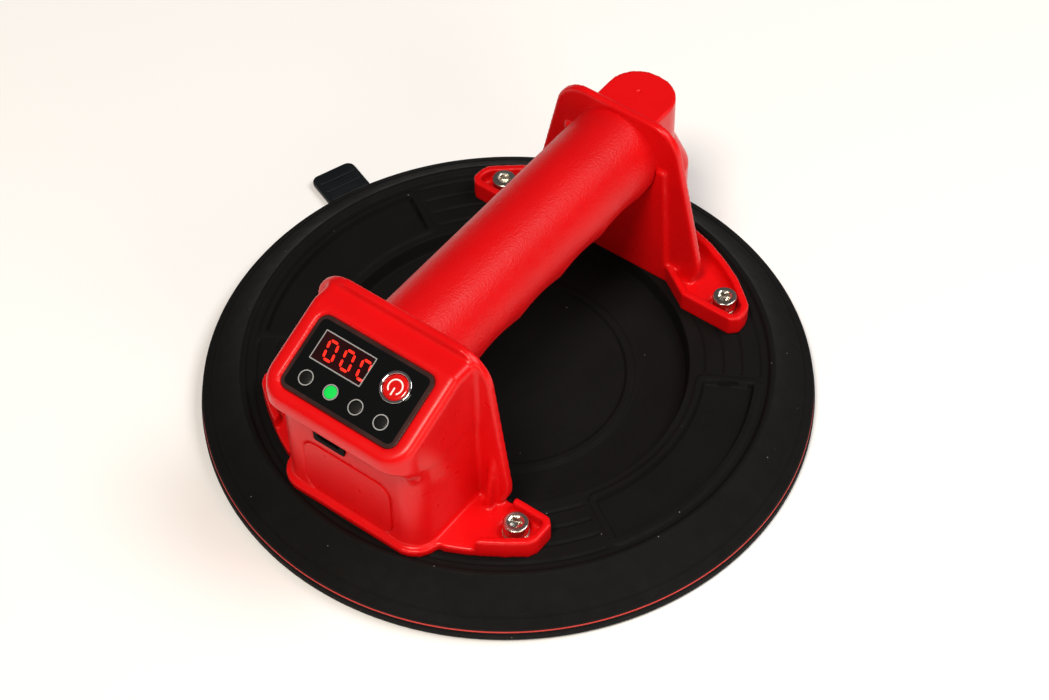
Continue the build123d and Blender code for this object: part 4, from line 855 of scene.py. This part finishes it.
@dataclass
class Grip:
    """The hollow bar between the brackets, with finger grooves underneath."""

    radius: float = 17.0
    wall: float = 2.2
    start: float = -50.0
    end: float = 62.0
    centre_z: float = 65.3
    groove_pitch: float = 22.3
    groove_first: float = -23.5
    groove_count: int = 4
    groove_depth: float = 1.4

    def build(self, wear: dict[str, bpy.types.Material]) -> None:
        """Sweep the tube and press the grooves into its underside.

        Args:
            wear: The finishes by slot.
        """
        piece = make_piece("grip_bar", np.zeros((1, 3)), [], wear["red_abs_grained"])
        shape = Shape("grooved_tube")
        tree = shape.tree
        radius = shape.add("Radius", "Float", self.radius * MM)
        depth = shape.add("Groove Depth", "Float", self.groove_depth * MM)
        first = shape.add("First Groove", "Float", self.groove_first * MM)
        pitch = shape.add("Groove Pitch", "Float", self.groove_pitch * MM)
        axis = shape.add("Axis Height", "Float", self.centre_z * MM)
        start = shape.add("Start", "Vector", (0.0, self.start * MM, self.centre_z * MM))
        end = shape.add("End", "Vector", (0.0, self.end * MM, self.centre_z * MM))

        line = add_node(tree, "GeometryNodeCurvePrimitiveLine",
                        links={"Start": start, "End": end})
        fine = add_node(tree, "GeometryNodeResampleCurve",
                        links={"Curve": line.outputs["Curve"]}, values={"Count": 160})
        ring = add_node(tree, "GeometryNodeCurvePrimitiveCircle", links={"Radius": radius},
                        values={"Resolution": 96})
        tube = add_node(tree, "GeometryNodeCurveToMesh",
                        links={"Curve": fine.outputs["Curve"],
                               "Profile Curve": ring.outputs["Curve"]})
        place = add_node(tree, "ShaderNodeSeparateXYZ",
                         links={"Vector": add_node(tree, "GeometryNodeInputPosition")
                                .outputs["Position"]})
        known = {"x": place.outputs["X"], "y": place.outputs["Y"], "z": place.outputs["Z"],
                 "radius": radius, "depth": depth, "first": first, "pitch": pitch, "axis": axis}
        # a row is a name, an operation and its terms: earlier names or numbers
        for name, operation, *terms in (
                ("up", "SUBTRACT", "z", "axis"),
                ("down", "MULTIPLY", "up", -1.0),
                ("down_share", "DIVIDE", "down", "radius"),
                ("below", "MAXIMUM", "down_share", 0.0),
                ("under", "POWER", "below", 0.8),
                ("from_first", "SUBTRACT", "y", "first"),
                ("phase", "DIVIDE", "from_first", "pitch"),
                ("angle", "MULTIPLY", "phase", math.pi),
                ("swing", "COSINE", "angle"),
                ("wave", "ABSOLUTE", "swing"),
                ("from_middle", "SUBTRACT", "phase", (self.groove_count - 1) / 2),
                ("away", "ABSOLUTE", "from_middle"),
                ("inside", "LESS_THAN", "away", self.groove_count / 2),
                ("groove", "MULTIPLY", "wave", "inside"),
                ("reach", "MULTIPLY", "under", "depth"),
                ("press", "MULTIPLY", "groove", "reach"),
                ("inward", "MULTIPLY", "press", -1.0),
                ("share", "DIVIDE", "inward", "radius"),
                ("move_x", "MULTIPLY", "x", "share"),
                ("move_z", "MULTIPLY", "up", "share")):
            known[name] = add_node(
                tree, "ShaderNodeMath", {"operation": operation},
                {n: known[term] for n, term in enumerate(terms) if isinstance(term, str)},
                {n: term for n, term in enumerate(terms) if not isinstance(term, str)},
            ).outputs["Value"]
        offset = add_node(tree, "ShaderNodeCombineXYZ",
                          links={"X": known["move_x"], "Z": known["move_z"]})
        moved = add_node(tree, "GeometryNodeSetPosition",
                         links={"Geometry": tube.outputs["Mesh"],
                                "Offset": offset.outputs["Vector"]})
        shape.run(piece, moved.outputs["Geometry"], wear["red_abs_grained"])
        shell = bmesh.new()
        shell.from_mesh(piece.data)
        bmesh.ops.recalc_face_normals(shell, faces=shell.faces)
        middle = shell.faces[:][0]
        outward = Vector((middle.calc_center_median().x, 0,
                          middle.calc_center_median().z - self.centre_z * MM))
        if outward.dot(middle.normal) < 0:
            bmesh.ops.reverse_faces(shell, faces=shell.faces)
        shell.to_mesh(piece.data)
        shell.free()
        wall = piece.modifiers.new("wall", "SOLIDIFY")
        wall.thickness, wall.offset = self.wall * MM, -1.0
        bake(piece, 50.0)
        adopt(piece, "frame", "red_abs_grained", "handle_grip")


# ------------------------------------------------------------------ brackets


@dataclass
class Brackets:
    """The two moulded brackets, softened as a moulding is at every edge."""

    voxel: float = 0.6  # grid on which a shell is melted into one skin
    rounds: int = 7  # passes that soften its edges
    flare_low: float = 45.0
    flare_high: float = 62.0
    body_half: float = 28.8
    body_front: float = -83.9
    body_corner: float = 8.0
    bezel_half: float = 29.0
    bezel_front: float = -91.1
    bezel_corner: float = 9.5
    flare_end: float = 62.0  # degrees round the corner from the side
    scoop: tuple[float, float, float] = (27.7, -83.5, 54.0)
    scoop_size: tuple[float, float, float] = (4.8, 2.7, 2.6)  # half lengths
    scoop_turn: float = 40.0  # degrees, so that it follows the corner
    gate_mark: tuple[float, float, float] = (-1.1, 76.4, 80.6)
    gate_size: tuple[float, float, float] = (1.0, 1.0, 0.5)

    def corner_point(self, half: float, front: float, radius: float, turn: float,
                     inset: float = 0.0) -> np.ndarray:
        """A point on a rounded corner of a plan.

        Args:
            half: Half of the plan's width.
            front: Y of its front.
            radius: Corner radius.
            turn: Degrees round the corner from the side to the front.
            inset: How far inside the outline the point lies.

        Returns:
            Its X and Y.
        """
        reach, angle = radius - inset, math.radians(-turn)
        return np.array([half - radius + reach * math.cos(angle),
                         front + radius + reach * math.sin(angle)])

    def flare(self, side: int, wear: bpy.types.Material) -> bpy.types.Object:
        """The blend that carries the bezel's corner down into the body's corner.

        Args:
            side: 1 or -1 for the right or left corner.
            wear: Its material.

        Returns:
            A closed object that overlaps the bracket.
        """
        rings = []
        for level in np.linspace(0.0, 1.0, 14):
            z = self.flare_low + (self.flare_high - self.flare_low) * level
            out = level**2.2
            points = []
            for turn in np.linspace(-4.0, self.flare_end, 16):
                fade = 1.0 - max(0.0, (turn - self.flare_end + 16.0) / 16.0)**2
                near = self.corner_point(self.body_half, self.body_front, self.body_corner,
                                         turn, 0.3)
                far = self.corner_point(self.bezel_half, self.bezel_front, self.bezel_corner,
                                        turn, 0.3)
                points.append(near + (far - near) * out * fade)
            for turn in np.linspace(self.flare_end, -4.0, 16):
                points.append(self.corner_point(self.body_half, self.body_front,
                                                self.body_corner, turn, 1.8))
            flat = np.array(points)
            rings.append(np.stack([side * flat[:, 0], flat[:, 1], np.full(len(flat), z)], 1))
        low, high = rings[0].mean(0, keepdims=True), rings[-1].mean(0, keepdims=True)
        return make_piece("flare", *bridge([low] + rings + [high]), wear)

    def soften(self, name: str, node: str, extras: list[bpy.types.Object],
               wear: bpy.types.Material) -> bpy.types.Object:
        """Copy a CAD bracket and round all its edges.

        Args:
            name: The new piece's name.
            node: The CAD node that is copied.
            extras: Closed objects to melt into it.
            wear: Its material.

        Returns:
            The softened copy.
        """
        mesh = frame["nodes"][node].data.copy()
        mesh.name = name
        shell = bmesh.new()
        shell.from_mesh(mesh)
        bmesh.ops.remove_doubles(shell, verts=shell.verts, dist=1e-6)
        shell.to_mesh(mesh)
        shell.free()
        mesh.materials.clear()
        mesh.materials.append(wear)
        piece = bpy.data.objects.new(name, mesh)
        bpy.context.scene.collection.objects.link(piece)
        if extras:
            join([piece] + extras)
        remesh = piece.modifiers.new("melt", "REMESH")
        remesh.mode, remesh.voxel_size, remesh.adaptivity = "VOXEL", self.voxel * MM, 0.0
        relax = piece.modifiers.new("relax", "SMOOTH")
        relax.factor, relax.iterations = 0.5, self.rounds
        bake(piece, 180.0)
        return piece

    def carve(self, piece: bpy.types.Object, place: tuple[float, float, float],
              size: tuple[float, float, float], turn: float = 0.0) -> None:
        """Press an egg-shaped hollow into a bracket.

        Args:
            piece: The bracket.
            place: The hollow's middle.
            size: Its half lengths.
            turn: Its turn about Z, in degrees.
        """
        rings = [circle(math.sin(a), -math.cos(a), 32) for a in np.linspace(0, math.pi, 17)]
        cutter = make_piece("hollow", *bridge(rings), piece.data.materials[0])
        cutter.data.transform(Matrix.Translation(Vector(place) * MM)
                              @ Matrix.Rotation(math.radians(turn), 4, "Z")
                              @ Matrix.Diagonal((*size, 1.0)))
        cut = piece.modifiers.new("hollow", "BOOLEAN")
        cut.operation, cut.object, cut.solver = "DIFFERENCE", cutter, "EXACT"
        bake(piece, 50.0)
        bpy.data.objects.remove(cutter)

    def build(self, wear: dict[str, bpy.types.Material]) -> None:
        """Make both brackets.

        Args:
            wear: The finishes by slot.
        """
        red = wear["red_abs"]
        front = self.soften("front_bracket_shell", "front_bracket",
                            [self.flare(side, red) for side in (-1, 1)], red)
        x, y, z = self.scoop
        for side in (-1, 1):
            self.carve(front, (side * x, y, z), self.scoop_size, side * self.scoop_turn)
        adopt(front, "frame", "red_abs", "front_bracket")
        rear = self.soften("rear_bracket_shell", "rear_bracket", [], red)
        self.carve(rear, self.gate_mark, self.gate_size)
        adopt(rear, "frame", "red_abs", "rear_bracket")


@dataclass
class BracketScrews:
    """Four M5 socket cap screws in the brackets' feet."""

    spots_x: float = 47.6
    near_y: float = -58.3
    far_y: float = 61.0
    seat: float = 18.3
    head_r: float = 4.25
    head_h: float = 5.0
    shank_r: float = 2.5
    length: float = 10.0
    key: float = 4.0
    key_depth: float = 2.6

    def build(self, wear: dict[str, bpy.types.Material]) -> None:
        """Make one screw and set out four.

        Args:
            wear: The finishes by slot.
        """
        steps, top = 48, self.seat + self.head_h
        turn = np.arange(steps) * 2 * math.pi / steps
        flat = (self.key / 2) / np.cos((turn + math.pi / 6) % (math.pi / 3) - math.pi / 6)

        def hexagon(grow: float, level: float) -> np.ndarray:
            """A ring of the key's outline at a level."""
            r = flat * grow
            return np.stack([r * np.cos(turn), r * np.sin(turn), np.full(steps, level)], 1)

        side = rounded([(0.0, self.seat - self.length), (self.shank_r, self.seat - self.length),
                        (self.shank_r, self.seat), (self.head_r, self.seat), (self.head_r, top),
                        (self.key / 2 + 0.75, top)], 0.6, False, 5)
        rings = [circle(r, z, steps) for r, z in side]
        rings += [circle(self.key / 2 + 0.55, top - 0.04, steps), hexagon(1.0, top - 0.3),
                  hexagon(1.0, top - self.key_depth), hexagon(0.15, top - self.key_depth - 0.5),
                  circle(0, top - self.key_depth - 0.55)]
        screw = make_piece("cap_screws", *bridge(rings), wear["stainless"], 30.0)
        shape = Shape("four_screws")
        tree = shape.tree
        wide = shape.add("Width", "Float", 2 * self.spots_x * MM)
        deep = shape.add("Depth", "Float", (self.far_y - self.near_y) * MM)
        middle = shape.add("Middle", "Vector", (0.0, (self.far_y + self.near_y) / 2 * MM, 0.0))
        grid = add_node(tree, "GeometryNodeMeshGrid", links={"Size X": wide, "Size Y": deep},
                        values={"Vertices X": 2, "Vertices Y": 2})
        moved = add_node(tree, "GeometryNodeTransform",
                         links={"Geometry": grid.outputs["Mesh"], "Translation": middle})
        copies = add_node(tree, "GeometryNodeInstanceOnPoints",
                          links={"Points": moved.outputs["Geometry"],
                                 "Instance": shape.given.outputs["Geometry"]})
        shape.run(screw, copies.outputs["Instances"], wear["stainless"])
        smooth(screw.data, 30.0)
        adopt(screw, "frame", "stainless", "bracket_screws")


# ------------------------------------------------------------------ control panel


@dataclass
class ControlPanel:
    """The black window with its lamps and display, and the push button."""

    origin: tuple[float, float, float] = (0.0, -75.15, 76.2)
    tilt: float = 26.0
    width: float = 45.8
    height: float = 27.0
    corner: float = 3.5
    sunk: float = 0.3
    thick: float = 1.2
    edge: float = 1.5
    button: tuple[float, float] = (12.5, 4.3)
    ring_r: float = 5.3
    cap_r: float = 4.25
    lamp_first: float = -15.2
    lamp_pitch: float = 9.9
    lamp_v: float = -7.2
    lamp_r: float = 2.6
    lamps: tuple[Lamp, ...] = (Lamp.DARK, Lamp.GREEN, Lamp.DARK, Lamp.DARK)
    frame_low: tuple[float, float] = (-18.2, -1.35)
    frame_high: tuple[float, float] = (2.0, 9.1)
    line: float = 0.36
    digit_first: float = -12.9
    digit_pitch: float = 6.6
    digit_v: float = 3.75
    digit_w: float = 3.3
    digit_h: float = 6.1
    stroke: float = 0.85
    slant: float = 0.17
    ring_low: float = -5.2
    ring_proud: float = 0.5
    stem_r: float = 1.5
    stem_low: float = -4.2
    cap_t: float = 2.4
    cap_proud: float = 0.2
    sign_in: float = 2.15
    sign_out: float = 2.65
    sign_gap: float = 38.0  # half of the arc's opening, in degrees
    bar_w: float = 0.5
    bar_h: float = 2.6
    bar_v: float = -1.6

    def __post_init__(self) -> None:
        """Work out where the panel's plane lies."""
        t = math.radians(self.tilt)
        self.matrix = Matrix(((1, 0, 0, self.origin[0] * MM),
                              (0, math.cos(t), -math.sin(t), self.origin[1] * MM),
                              (0, math.sin(t), math.cos(t), self.origin[2] * MM),
                              (0, 0, 0, 1)))

    def lay(self, piece: bpy.types.Object, body: str, slot: str, *nodes: str) -> None:
        """Move a piece from the panel's own plane to its place and adopt it."""
        piece.data.transform(self.matrix)
        adopt(piece, body, slot, *nodes)

    def window(self, wear: dict[str, bpy.types.Material]) -> None:
        """Make the window with its bevelled edge and the hole for the button.

        Args:
            wear: The finishes by slot.
        """
        low, top = -self.sunk - self.thick, -self.sunk

        def outline(inset: float, level: float) -> np.ndarray:
            """The window's outline, so far in, at a level."""
            return rounded_rectangle(self.width - 2 * inset, self.height - 2 * inset,
                                     max(self.corner - inset, 0.8), level)

        rings = [circle(0, low), outline(0.05, low), outline(0.05, top - 0.45),
                 outline(0.35, top - 0.1), outline(self.edge - 0.25, top),
                 outline(self.edge, top), circle(0, top)]
        glass = make_piece("panel_glass", *bridge(rings), wear["clear_window"], 25.0)
        # the bevel's faces take the edge material, whose brown-grey colour is a painted highlight
        glass.data.materials.append(wear["acrylic_edge"])
        inner = (self.width / 2 - self.edge) * MM, (self.height / 2 - self.edge) * MM
        for face in glass.data.polygons:
            centre = face.center
            if abs(centre.x) > inner[0] or abs(centre.y) > inner[1] or self.in_corner(centre):
                face.material_index = 1
        hole = make_piece("button_hole", *lathe([(0, -3), (self.ring_r + 0.1, -3),
                                                 (self.ring_r + 0.1, 3), (0, 3)], False, 96),
                          wear["clear_window"])
        hole.data.transform(Matrix.Translation(Vector((*self.button, 0)) * MM))
        cut = glass.modifiers.new("button_hole", "BOOLEAN")
        cut.operation, cut.object, cut.solver = "DIFFERENCE", hole, "EXACT"
        bake(glass, 25.0)
        bpy.data.objects.remove(hole)
        self.lay(glass, "frame", "clear_window", "panel_window")

    def in_corner(self, centre: Vector) -> bool:
        """Whether a face lies in the bevel round one of the window's corners.

        Args:
            centre: The face's middle, in metres.

        Returns:
            True for a face of the bevel.
        """
        radius = (self.corner - self.edge) * MM
        u = abs(centre.x) - self.width / 2 * MM + self.corner * MM
        v = abs(centre.y) - self.height / 2 * MM + self.corner * MM
        return u > 0 and v > 0 and math.hypot(u, v) > radius

    def band(self, inner: np.ndarray, outer: np.ndarray, top: float = 0.03
             ) -> tuple[np.ndarray, list[tuple[int, ...]]]:
        """A raised print between two outlines at the window's face.

        Args:
            inner: The inner ring of points.
            outer: The outer ring of points.
            top: Thickness of the print.

        Returns:
            Its points and faces.
        """
        rings = []
        for ring, level in ((inner, 0.0), (inner, top), (outer, top), (outer, 0.0)):
            copy = ring.copy()
            copy[:, 2] = level - self.sunk
            rings.append(copy)
        return bridge(rings, True)

    def lamps_and_lines(self, wear: dict[str, bpy.types.Material]) -> None:
        """Print the display's frame and the lamps' rings, and light the lamps.

        Args:
            wear: The finishes by slot.
        """
        size = [high - low for low, high in zip(self.frame_low, self.frame_high)]
        middle = [(low + high) / 2 for low, high in zip(self.frame_low, self.frame_high)]
        outer = rounded_rectangle(*size, 0.3, 0.0, 2)
        inner = rounded_rectangle(size[0] - 2 * self.line, size[1] - 2 * self.line, 0.1, 0.0, 2)
        lines = make_piece("display_outline", *self.band(inner, outer), wear["grey_print"])
        lines.data.transform(Matrix.Translation(Vector((*middle, 0)) * MM))
        self.lay(lines, "frame", "black_print")
        field_outline = [rounded_rectangle(size[0] - 2 * self.line, size[1] - 2 * self.line,
                                           0.1, level, 2)
                         for level in (-self.sunk, 0.012 - self.sunk)]
        rings = [circle(0, -self.sunk)] + field_outline
        rings.append(circle(0, 0.012 - self.sunk))
        lens = make_piece("display_lens", *bridge(rings), wear["smoked_lens"])
        lens.data.transform(Matrix.Translation(Vector((*middle, 0)) * MM))
        self.lay(lens, "frame", "smoked_lens")
        ring = make_piece("lamp_outlines",
                          *self.band(circle(self.lamp_r - self.line, 0, 64),
                                     circle(self.lamp_r, 0, 64)), wear["grey_print"])
        repeat(ring, len(self.lamps), (self.lamp_first, self.lamp_v, 0),
               (self.lamp_pitch, 0, 0), wear["grey_print"])
        self.lay(ring, "frame", "black_print")
        for number, state in enumerate(self.lamps):
            lit = state is Lamp.GREEN
            finish = wear["lit_green" if lit else "led_lens"]
            radius = self.lamp_r - self.line - (0.05 if lit else 0.25)
            dome = rounded([(0.0, -self.sunk - 0.3), (radius, -self.sunk - 0.3),
                            (radius, -self.sunk + 0.02), (0.0, -self.sunk + 0.03)], 0.2, False)
            lens = make_piece(f"lamp_lens_{number + 1}", *lathe(dome, False, 48), finish)
            lens.data.transform(Matrix.Translation(
                Vector((self.lamp_first + self.lamp_pitch * number, self.lamp_v, 0)) * MM))
            self.lay(lens, "frame", "led_lens")

    def digit(self) -> tuple[np.ndarray, list[tuple[int, ...]]]:
        """The six lit bars of a slanted zero, about the origin.

        Returns:
            Its points and faces.
        """
        w, h, s = self.digit_w / 2, self.digit_h / 2, self.stroke / 2
        bars = [((-w, y), (w, y)) for y in (-h, h)]
        bars += [((x, y), (x, y + h)) for x in (-w, w) for y in (-h, 0.0)]
        points, faces = [], []
        for (x1, y1), (x2, y2) in bars:
            a, b = np.array([x1, y1]), np.array([x2, y2])
            along = (b - a) / np.linalg.norm(b - a)
            aside = np.array([-along[1], along[0]])
            a, b = a + along * 0.28, b - along * 0.28
            flat = [a, a + (along + aside) * s, b + (aside - along) * s, b,
                    b - (along + aside) * s, a + (along - aside) * s]
            base = len(points)
            for level in (0.0, 0.035):
                points += [(x - self.slant * y, y, level - self.sunk + 0.01) for x, y in flat]
            faces += [(base, base + 1, base + 2, base + 3, base + 4, base + 5),
                      tuple(base + 6 + k for k in range(6))]
            faces += [(base + k, base + (k + 1) % 6, base + 6 + (k + 1) % 6, base + 6 + k)
                      for k in range(6)]
        return np.array(points), faces

    def display(self, wear: dict[str, bpy.types.Material]) -> None:
        """Light three zeros, the last one cut off by the display's frame.

        Args:
            wear: The finishes by slot.
        """
        digits = make_piece("display_digits", *self.digit(), wear["lit_red"])
        repeat(digits, 3, (self.digit_first, self.digit_v, 0), (self.digit_pitch, 0, 0),
               wear["lit_red"])
        shell = bmesh.new()
        shell.from_mesh(digits.data)
        edge = Vector(((self.frame_high[0] - self.line) * MM, 0, 0))
        everything = shell.verts[:] + shell.edges[:] + shell.faces[:]
        cut = bmesh.ops.bisect_plane(shell, geom=everything, plane_co=edge,
                                     plane_no=Vector((1, 0, 0)), clear_outer=True)
        rim = [part for part in cut["geom_cut"] if isinstance(part, bmesh.types.BMEdge)]
        bmesh.ops.holes_fill(shell, edges=rim)
        bmesh.ops.recalc_face_normals(shell, faces=shell.faces)
        shell.to_mesh(digits.data)
        shell.free()
        self.lay(digits, "frame", "smoked_lens")

    def push_button(self, wear: dict[str, bpy.types.Material]) -> None:
        """Make the plated ring, the red cap and its symbol.

        Args:
            wear: The finishes by slot.
        """
        spot = Matrix.Translation(Vector((*self.button, 0)) * MM)
        inner = self.cap_r + 0.1
        ring = rounded([(inner, self.ring_low), (self.ring_r, self.ring_low),
                        (self.ring_r, self.ring_proud), (inner, 0.35)], 0.4, True, 5)
        piece = make_piece("plated_ring", *lathe(ring, True, 96), wear["chrome"])
        piece.data.transform(spot)
        self.lay(piece, "frame", "chrome", "button_ring")
        stem, top = self.stem_r, self.cap_proud
        cap = rounded([(0.0, self.stem_low), (stem, self.stem_low), (stem, top - self.cap_t),
                       (self.cap_r, top - self.cap_t),
                       (self.cap_r, top - 0.25), (self.cap_r - 0.6, top), (0.0, top + 0.1)],
                      0.3, False)
        piece = make_piece("button_cap", *lathe(cap, False, 96), wear["red_button"])
        piece.data.transform(spot)
        self.lay(piece, "power_button", "red_button", "power_button")
        low, high = top + 0.04 - 0.15, top + 0.04 + 0.09
        turns = np.radians(np.linspace(self.sign_gap - 90, 270 - self.sign_gap, 49))
        arc = []
        for turn in turns:
            arc.append([(r * math.cos(turn), r * math.sin(turn), z)
                        for r, z in ((self.sign_in, low), (self.sign_in, high),
                                     (self.sign_out, high), (self.sign_out, low))])
        points, faces = bridge([np.array(section) for section in arc])
        count = len(points)
        faces += [(0, 1, 2, 3), (count - 1, count - 2, count - 3, count - 4)]
        symbol = make_piece("button_symbol", points, faces, wear["white_print"])
        bar = make_piece("button_bar", *bridge(
            [circle(0, low)]
            + [rounded_rectangle(self.bar_w, self.bar_h, 0.1, z, 2) for z in (low, high)]
            + [circle(0, high)]), wear["white_print"])
        bar.data.transform(Matrix.Translation(Vector((0, self.bar_v, 0)) * MM))
        join([symbol, bar])
        symbol.data.transform(spot)
        self.lay(symbol, "power_button", "red_button")

    def build(self, wear: dict[str, bpy.types.Material]) -> None:
        """Make the whole panel.

        Args:
            wear: The finishes by slot.
        """
        self.window(wear)
        self.lamps_and_lines(wear)
        self.display(wear)
        self.push_button(wear)


@dataclass
class ChargePort:
    """The plate, tongue and ribs of the charge socket in the head's front face."""

    x: float = -6.2
    z: float = 50.6
    face: float = -83.9
    tongue_w: float = 6.7
    tongue_h: float = 0.7
    ribs: int = 4
    rib_pitch: float = 3.6
    plate_w: float = 12.6
    plate_h: float = 6.2
    plate_down: float = 0.7
    mouth_w: float = 9.3
    mouth_h: float = 3.4
    plate_back: float = -0.8
    plate_proud: float = 0.1
    tongue_back: float = -7.0
    tongue_tip: float = -2.0
    rib_back: float = -1.2

    def build(self, wear: dict[str, bpy.types.Material]) -> None:
        """Make the tongue, the ribs and the dark plate round the socket.

        Args:
            wear: The finishes by slot.
        """
        rings = [circle(0, self.tongue_back)]
        rings += [rounded_rectangle(self.tongue_w, self.tongue_h, 0.2, level, 3)
                  for level in (self.tongue_back, self.tongue_tip - 0.2)]
        rings += [rounded_rectangle(self.tongue_w - 0.4, self.tongue_h - 0.3, 0.15,
                                    self.tongue_tip, 3), circle(0, self.tongue_tip)]
        tongue = make_piece("socket_tongue", *bridge(rings), wear["black_plastic"])
        rib = [rounded_rectangle(0.5, 0.9, 0.15, level, 3) for level in (self.rib_back, 0.1)]
        rib = [circle(0, self.rib_back)] + rib + [circle(0, 0.15)]
        ribs = make_piece("port_ribs", *bridge(rib), wear["black_plastic"])
        repeat(ribs, self.ribs, (-self.rib_pitch * (self.ribs - 1) / 2, -2.1, 0),
               (self.rib_pitch, 0, 0), wear["black_plastic"])
        frame_rings = []
        mouth = (self.mouth_w, self.mouth_h, 0.0)
        rim = (self.plate_w, self.plate_h, self.plate_down)
        for (wide, high, down), level in ((mouth, self.plate_back), (mouth, self.plate_proud),
                                          (rim, self.plate_proud), (rim, self.plate_back)):
            ring = rounded_rectangle(wide, high, 0.9, level)
            ring[:, 1] -= down
            frame_rings.append(ring)
        plate = make_piece("port_plate", *bridge(frame_rings, True), wear["black_plastic"])
        stand = Matrix(((1, 0, 0, self.x * MM), (0, 0, -1, self.face * MM),
                        (0, 1, 0, self.z * MM), (0, 0, 0, 1)))
        for piece in (tongue, ribs, plate):
            piece.data.transform(stand)
            adopt(piece, "frame", "black_plastic")



# ------------------------------------------------------------------ studio


@dataclass
class Studio:
    """A white table, three softboxes and the camera."""

    target: tuple[float, float, float] = (-5.137, 16.202, 0.0)
    elevation: float = 49.787
    azimuth: float = 37.597
    distance: float = 847.87
    roll: float = -0.8936
    lens: float = 83.03
    floor_colour: str = "fafafa"
    table_glow: float = 0.06
    sky: float = 0.08

    def place_camera(self) -> None:
        """Stand the camera where it looks down on the control head's corner."""
        azimuth, elevation = math.radians(self.azimuth), math.radians(self.elevation)
        back = Vector((math.sin(azimuth) * math.cos(elevation),
                       -math.cos(azimuth) * math.cos(elevation), math.sin(elevation)))
        right = (-back).cross(Vector((0, 0, 1))).normalized()
        up = right.cross(-back)
        c, s = math.cos(math.radians(self.roll)), math.sin(math.radians(self.roll))
        right, up = c * right + s * up, c * up - s * right
        data = bpy.data.cameras.new("camera")
        data.lens, data.sensor_width = self.lens, 36.0
        data.clip_start, data.clip_end = 0.01, 20.0
        camera = bpy.data.objects.new("camera", data)
        bpy.context.scene.collection.objects.link(camera)
        place = (Vector(self.target) + back * self.distance) * MM
        turn = Matrix((right, up, back)).transposed().to_4x4()
        camera.matrix_world = Matrix.Translation(place) @ turn
        bpy.context.scene.camera = camera

    def light(self, name: str, place: tuple[float, float, float], size: float,
              power: float, tint: str = "ffffff") -> None:
        """Hang one square softbox and aim it.

        Args:
            name: The lamp's name.
            place: Where it hangs, in metres.
            size: Side of the softbox, in metres.
            power: Its power in watts.
            tint: Its colour.
        """
        data = bpy.data.lights.new(name, "AREA")
        data.shape, data.size, data.energy = "SQUARE", size, power
        data.color = linear(tint)[:3]
        lamp = bpy.data.objects.new(name, data)
        bpy.context.scene.collection.objects.link(lamp)
        facing = (Vector((0.0, 0.0, 0.03)) - Vector(place)).to_track_quat("-Z", "Y")
        lamp.matrix_world = Matrix.Translation(Vector(place)) @ facing.to_matrix().to_4x4()

    def build(self) -> None:
        """Make the floor, the world, the softboxes and the camera."""
        mesh = bpy.data.meshes.new("studio_floor")
        half = 3.0
        mesh.from_pydata([(-half, -half, 0), (half, -half, 0), (half, half, 0), (-half, half, 0)],
                         [], [(0, 1, 2, 3)])
        floor = bpy.data.objects.new("studio_floor", mesh)
        bpy.context.scene.collection.objects.link(floor)
        floor.location.z = -0.0002
        # matt white sheet, lit a little from below: shadows on it stay pale
        material = bpy.data.materials.new("opal_acrylic_table")
        material.use_nodes = True
        shader = material.node_tree.nodes["Principled BSDF"]
        shader.inputs["Base Color"].default_value = linear(self.floor_colour)
        shader.inputs["Roughness"].default_value = 0.9
        shader.inputs["Specular IOR Level"].default_value = 0.0
        shader.inputs["Emission Color"].default_value = linear(self.floor_colour)
        shader.inputs["Emission Strength"].default_value = self.table_glow
        mesh.materials.append(material)
        world = bpy.data.worlds.new("studio_world")
        world.use_nodes = True
        world.node_tree.nodes["Background"].inputs["Color"].default_value = linear("ffffff")
        world.node_tree.nodes["Background"].inputs["Strength"].default_value = self.sky
        bpy.context.scene.world = world
        bpy.context.scene.view_settings.view_transform = "Standard"
        self.light("key_softbox", (0.22, -0.82, 1.59), 0.45, 22.0, "fff4e6")
        self.light("top_softbox", (0.75, 0.55, 1.4), 0.8, 12.5)
        self.light("side_softbox", (1.4, -0.5, 0.7), 0.7, 7.0, "fff0dc")
        self.place_camera()


def main() -> None:
    """Build the studio, the finishes and every piece in order."""
    logging.basicConfig(level=logging.INFO, format="%(name)s: %(message)s")
    Studio().build()
    finishes = Finishes()
    finishes.build()
    finishes.dress(frame["nodes"], frame["record"])
    for part in (RubberPad(), ReleaseTab(), Grip(), Brackets(), BracketScrews(),
                 ControlPanel(), ChargePort()):
        part.build(finishes.made)


if __name__ == "__main__":
    main()
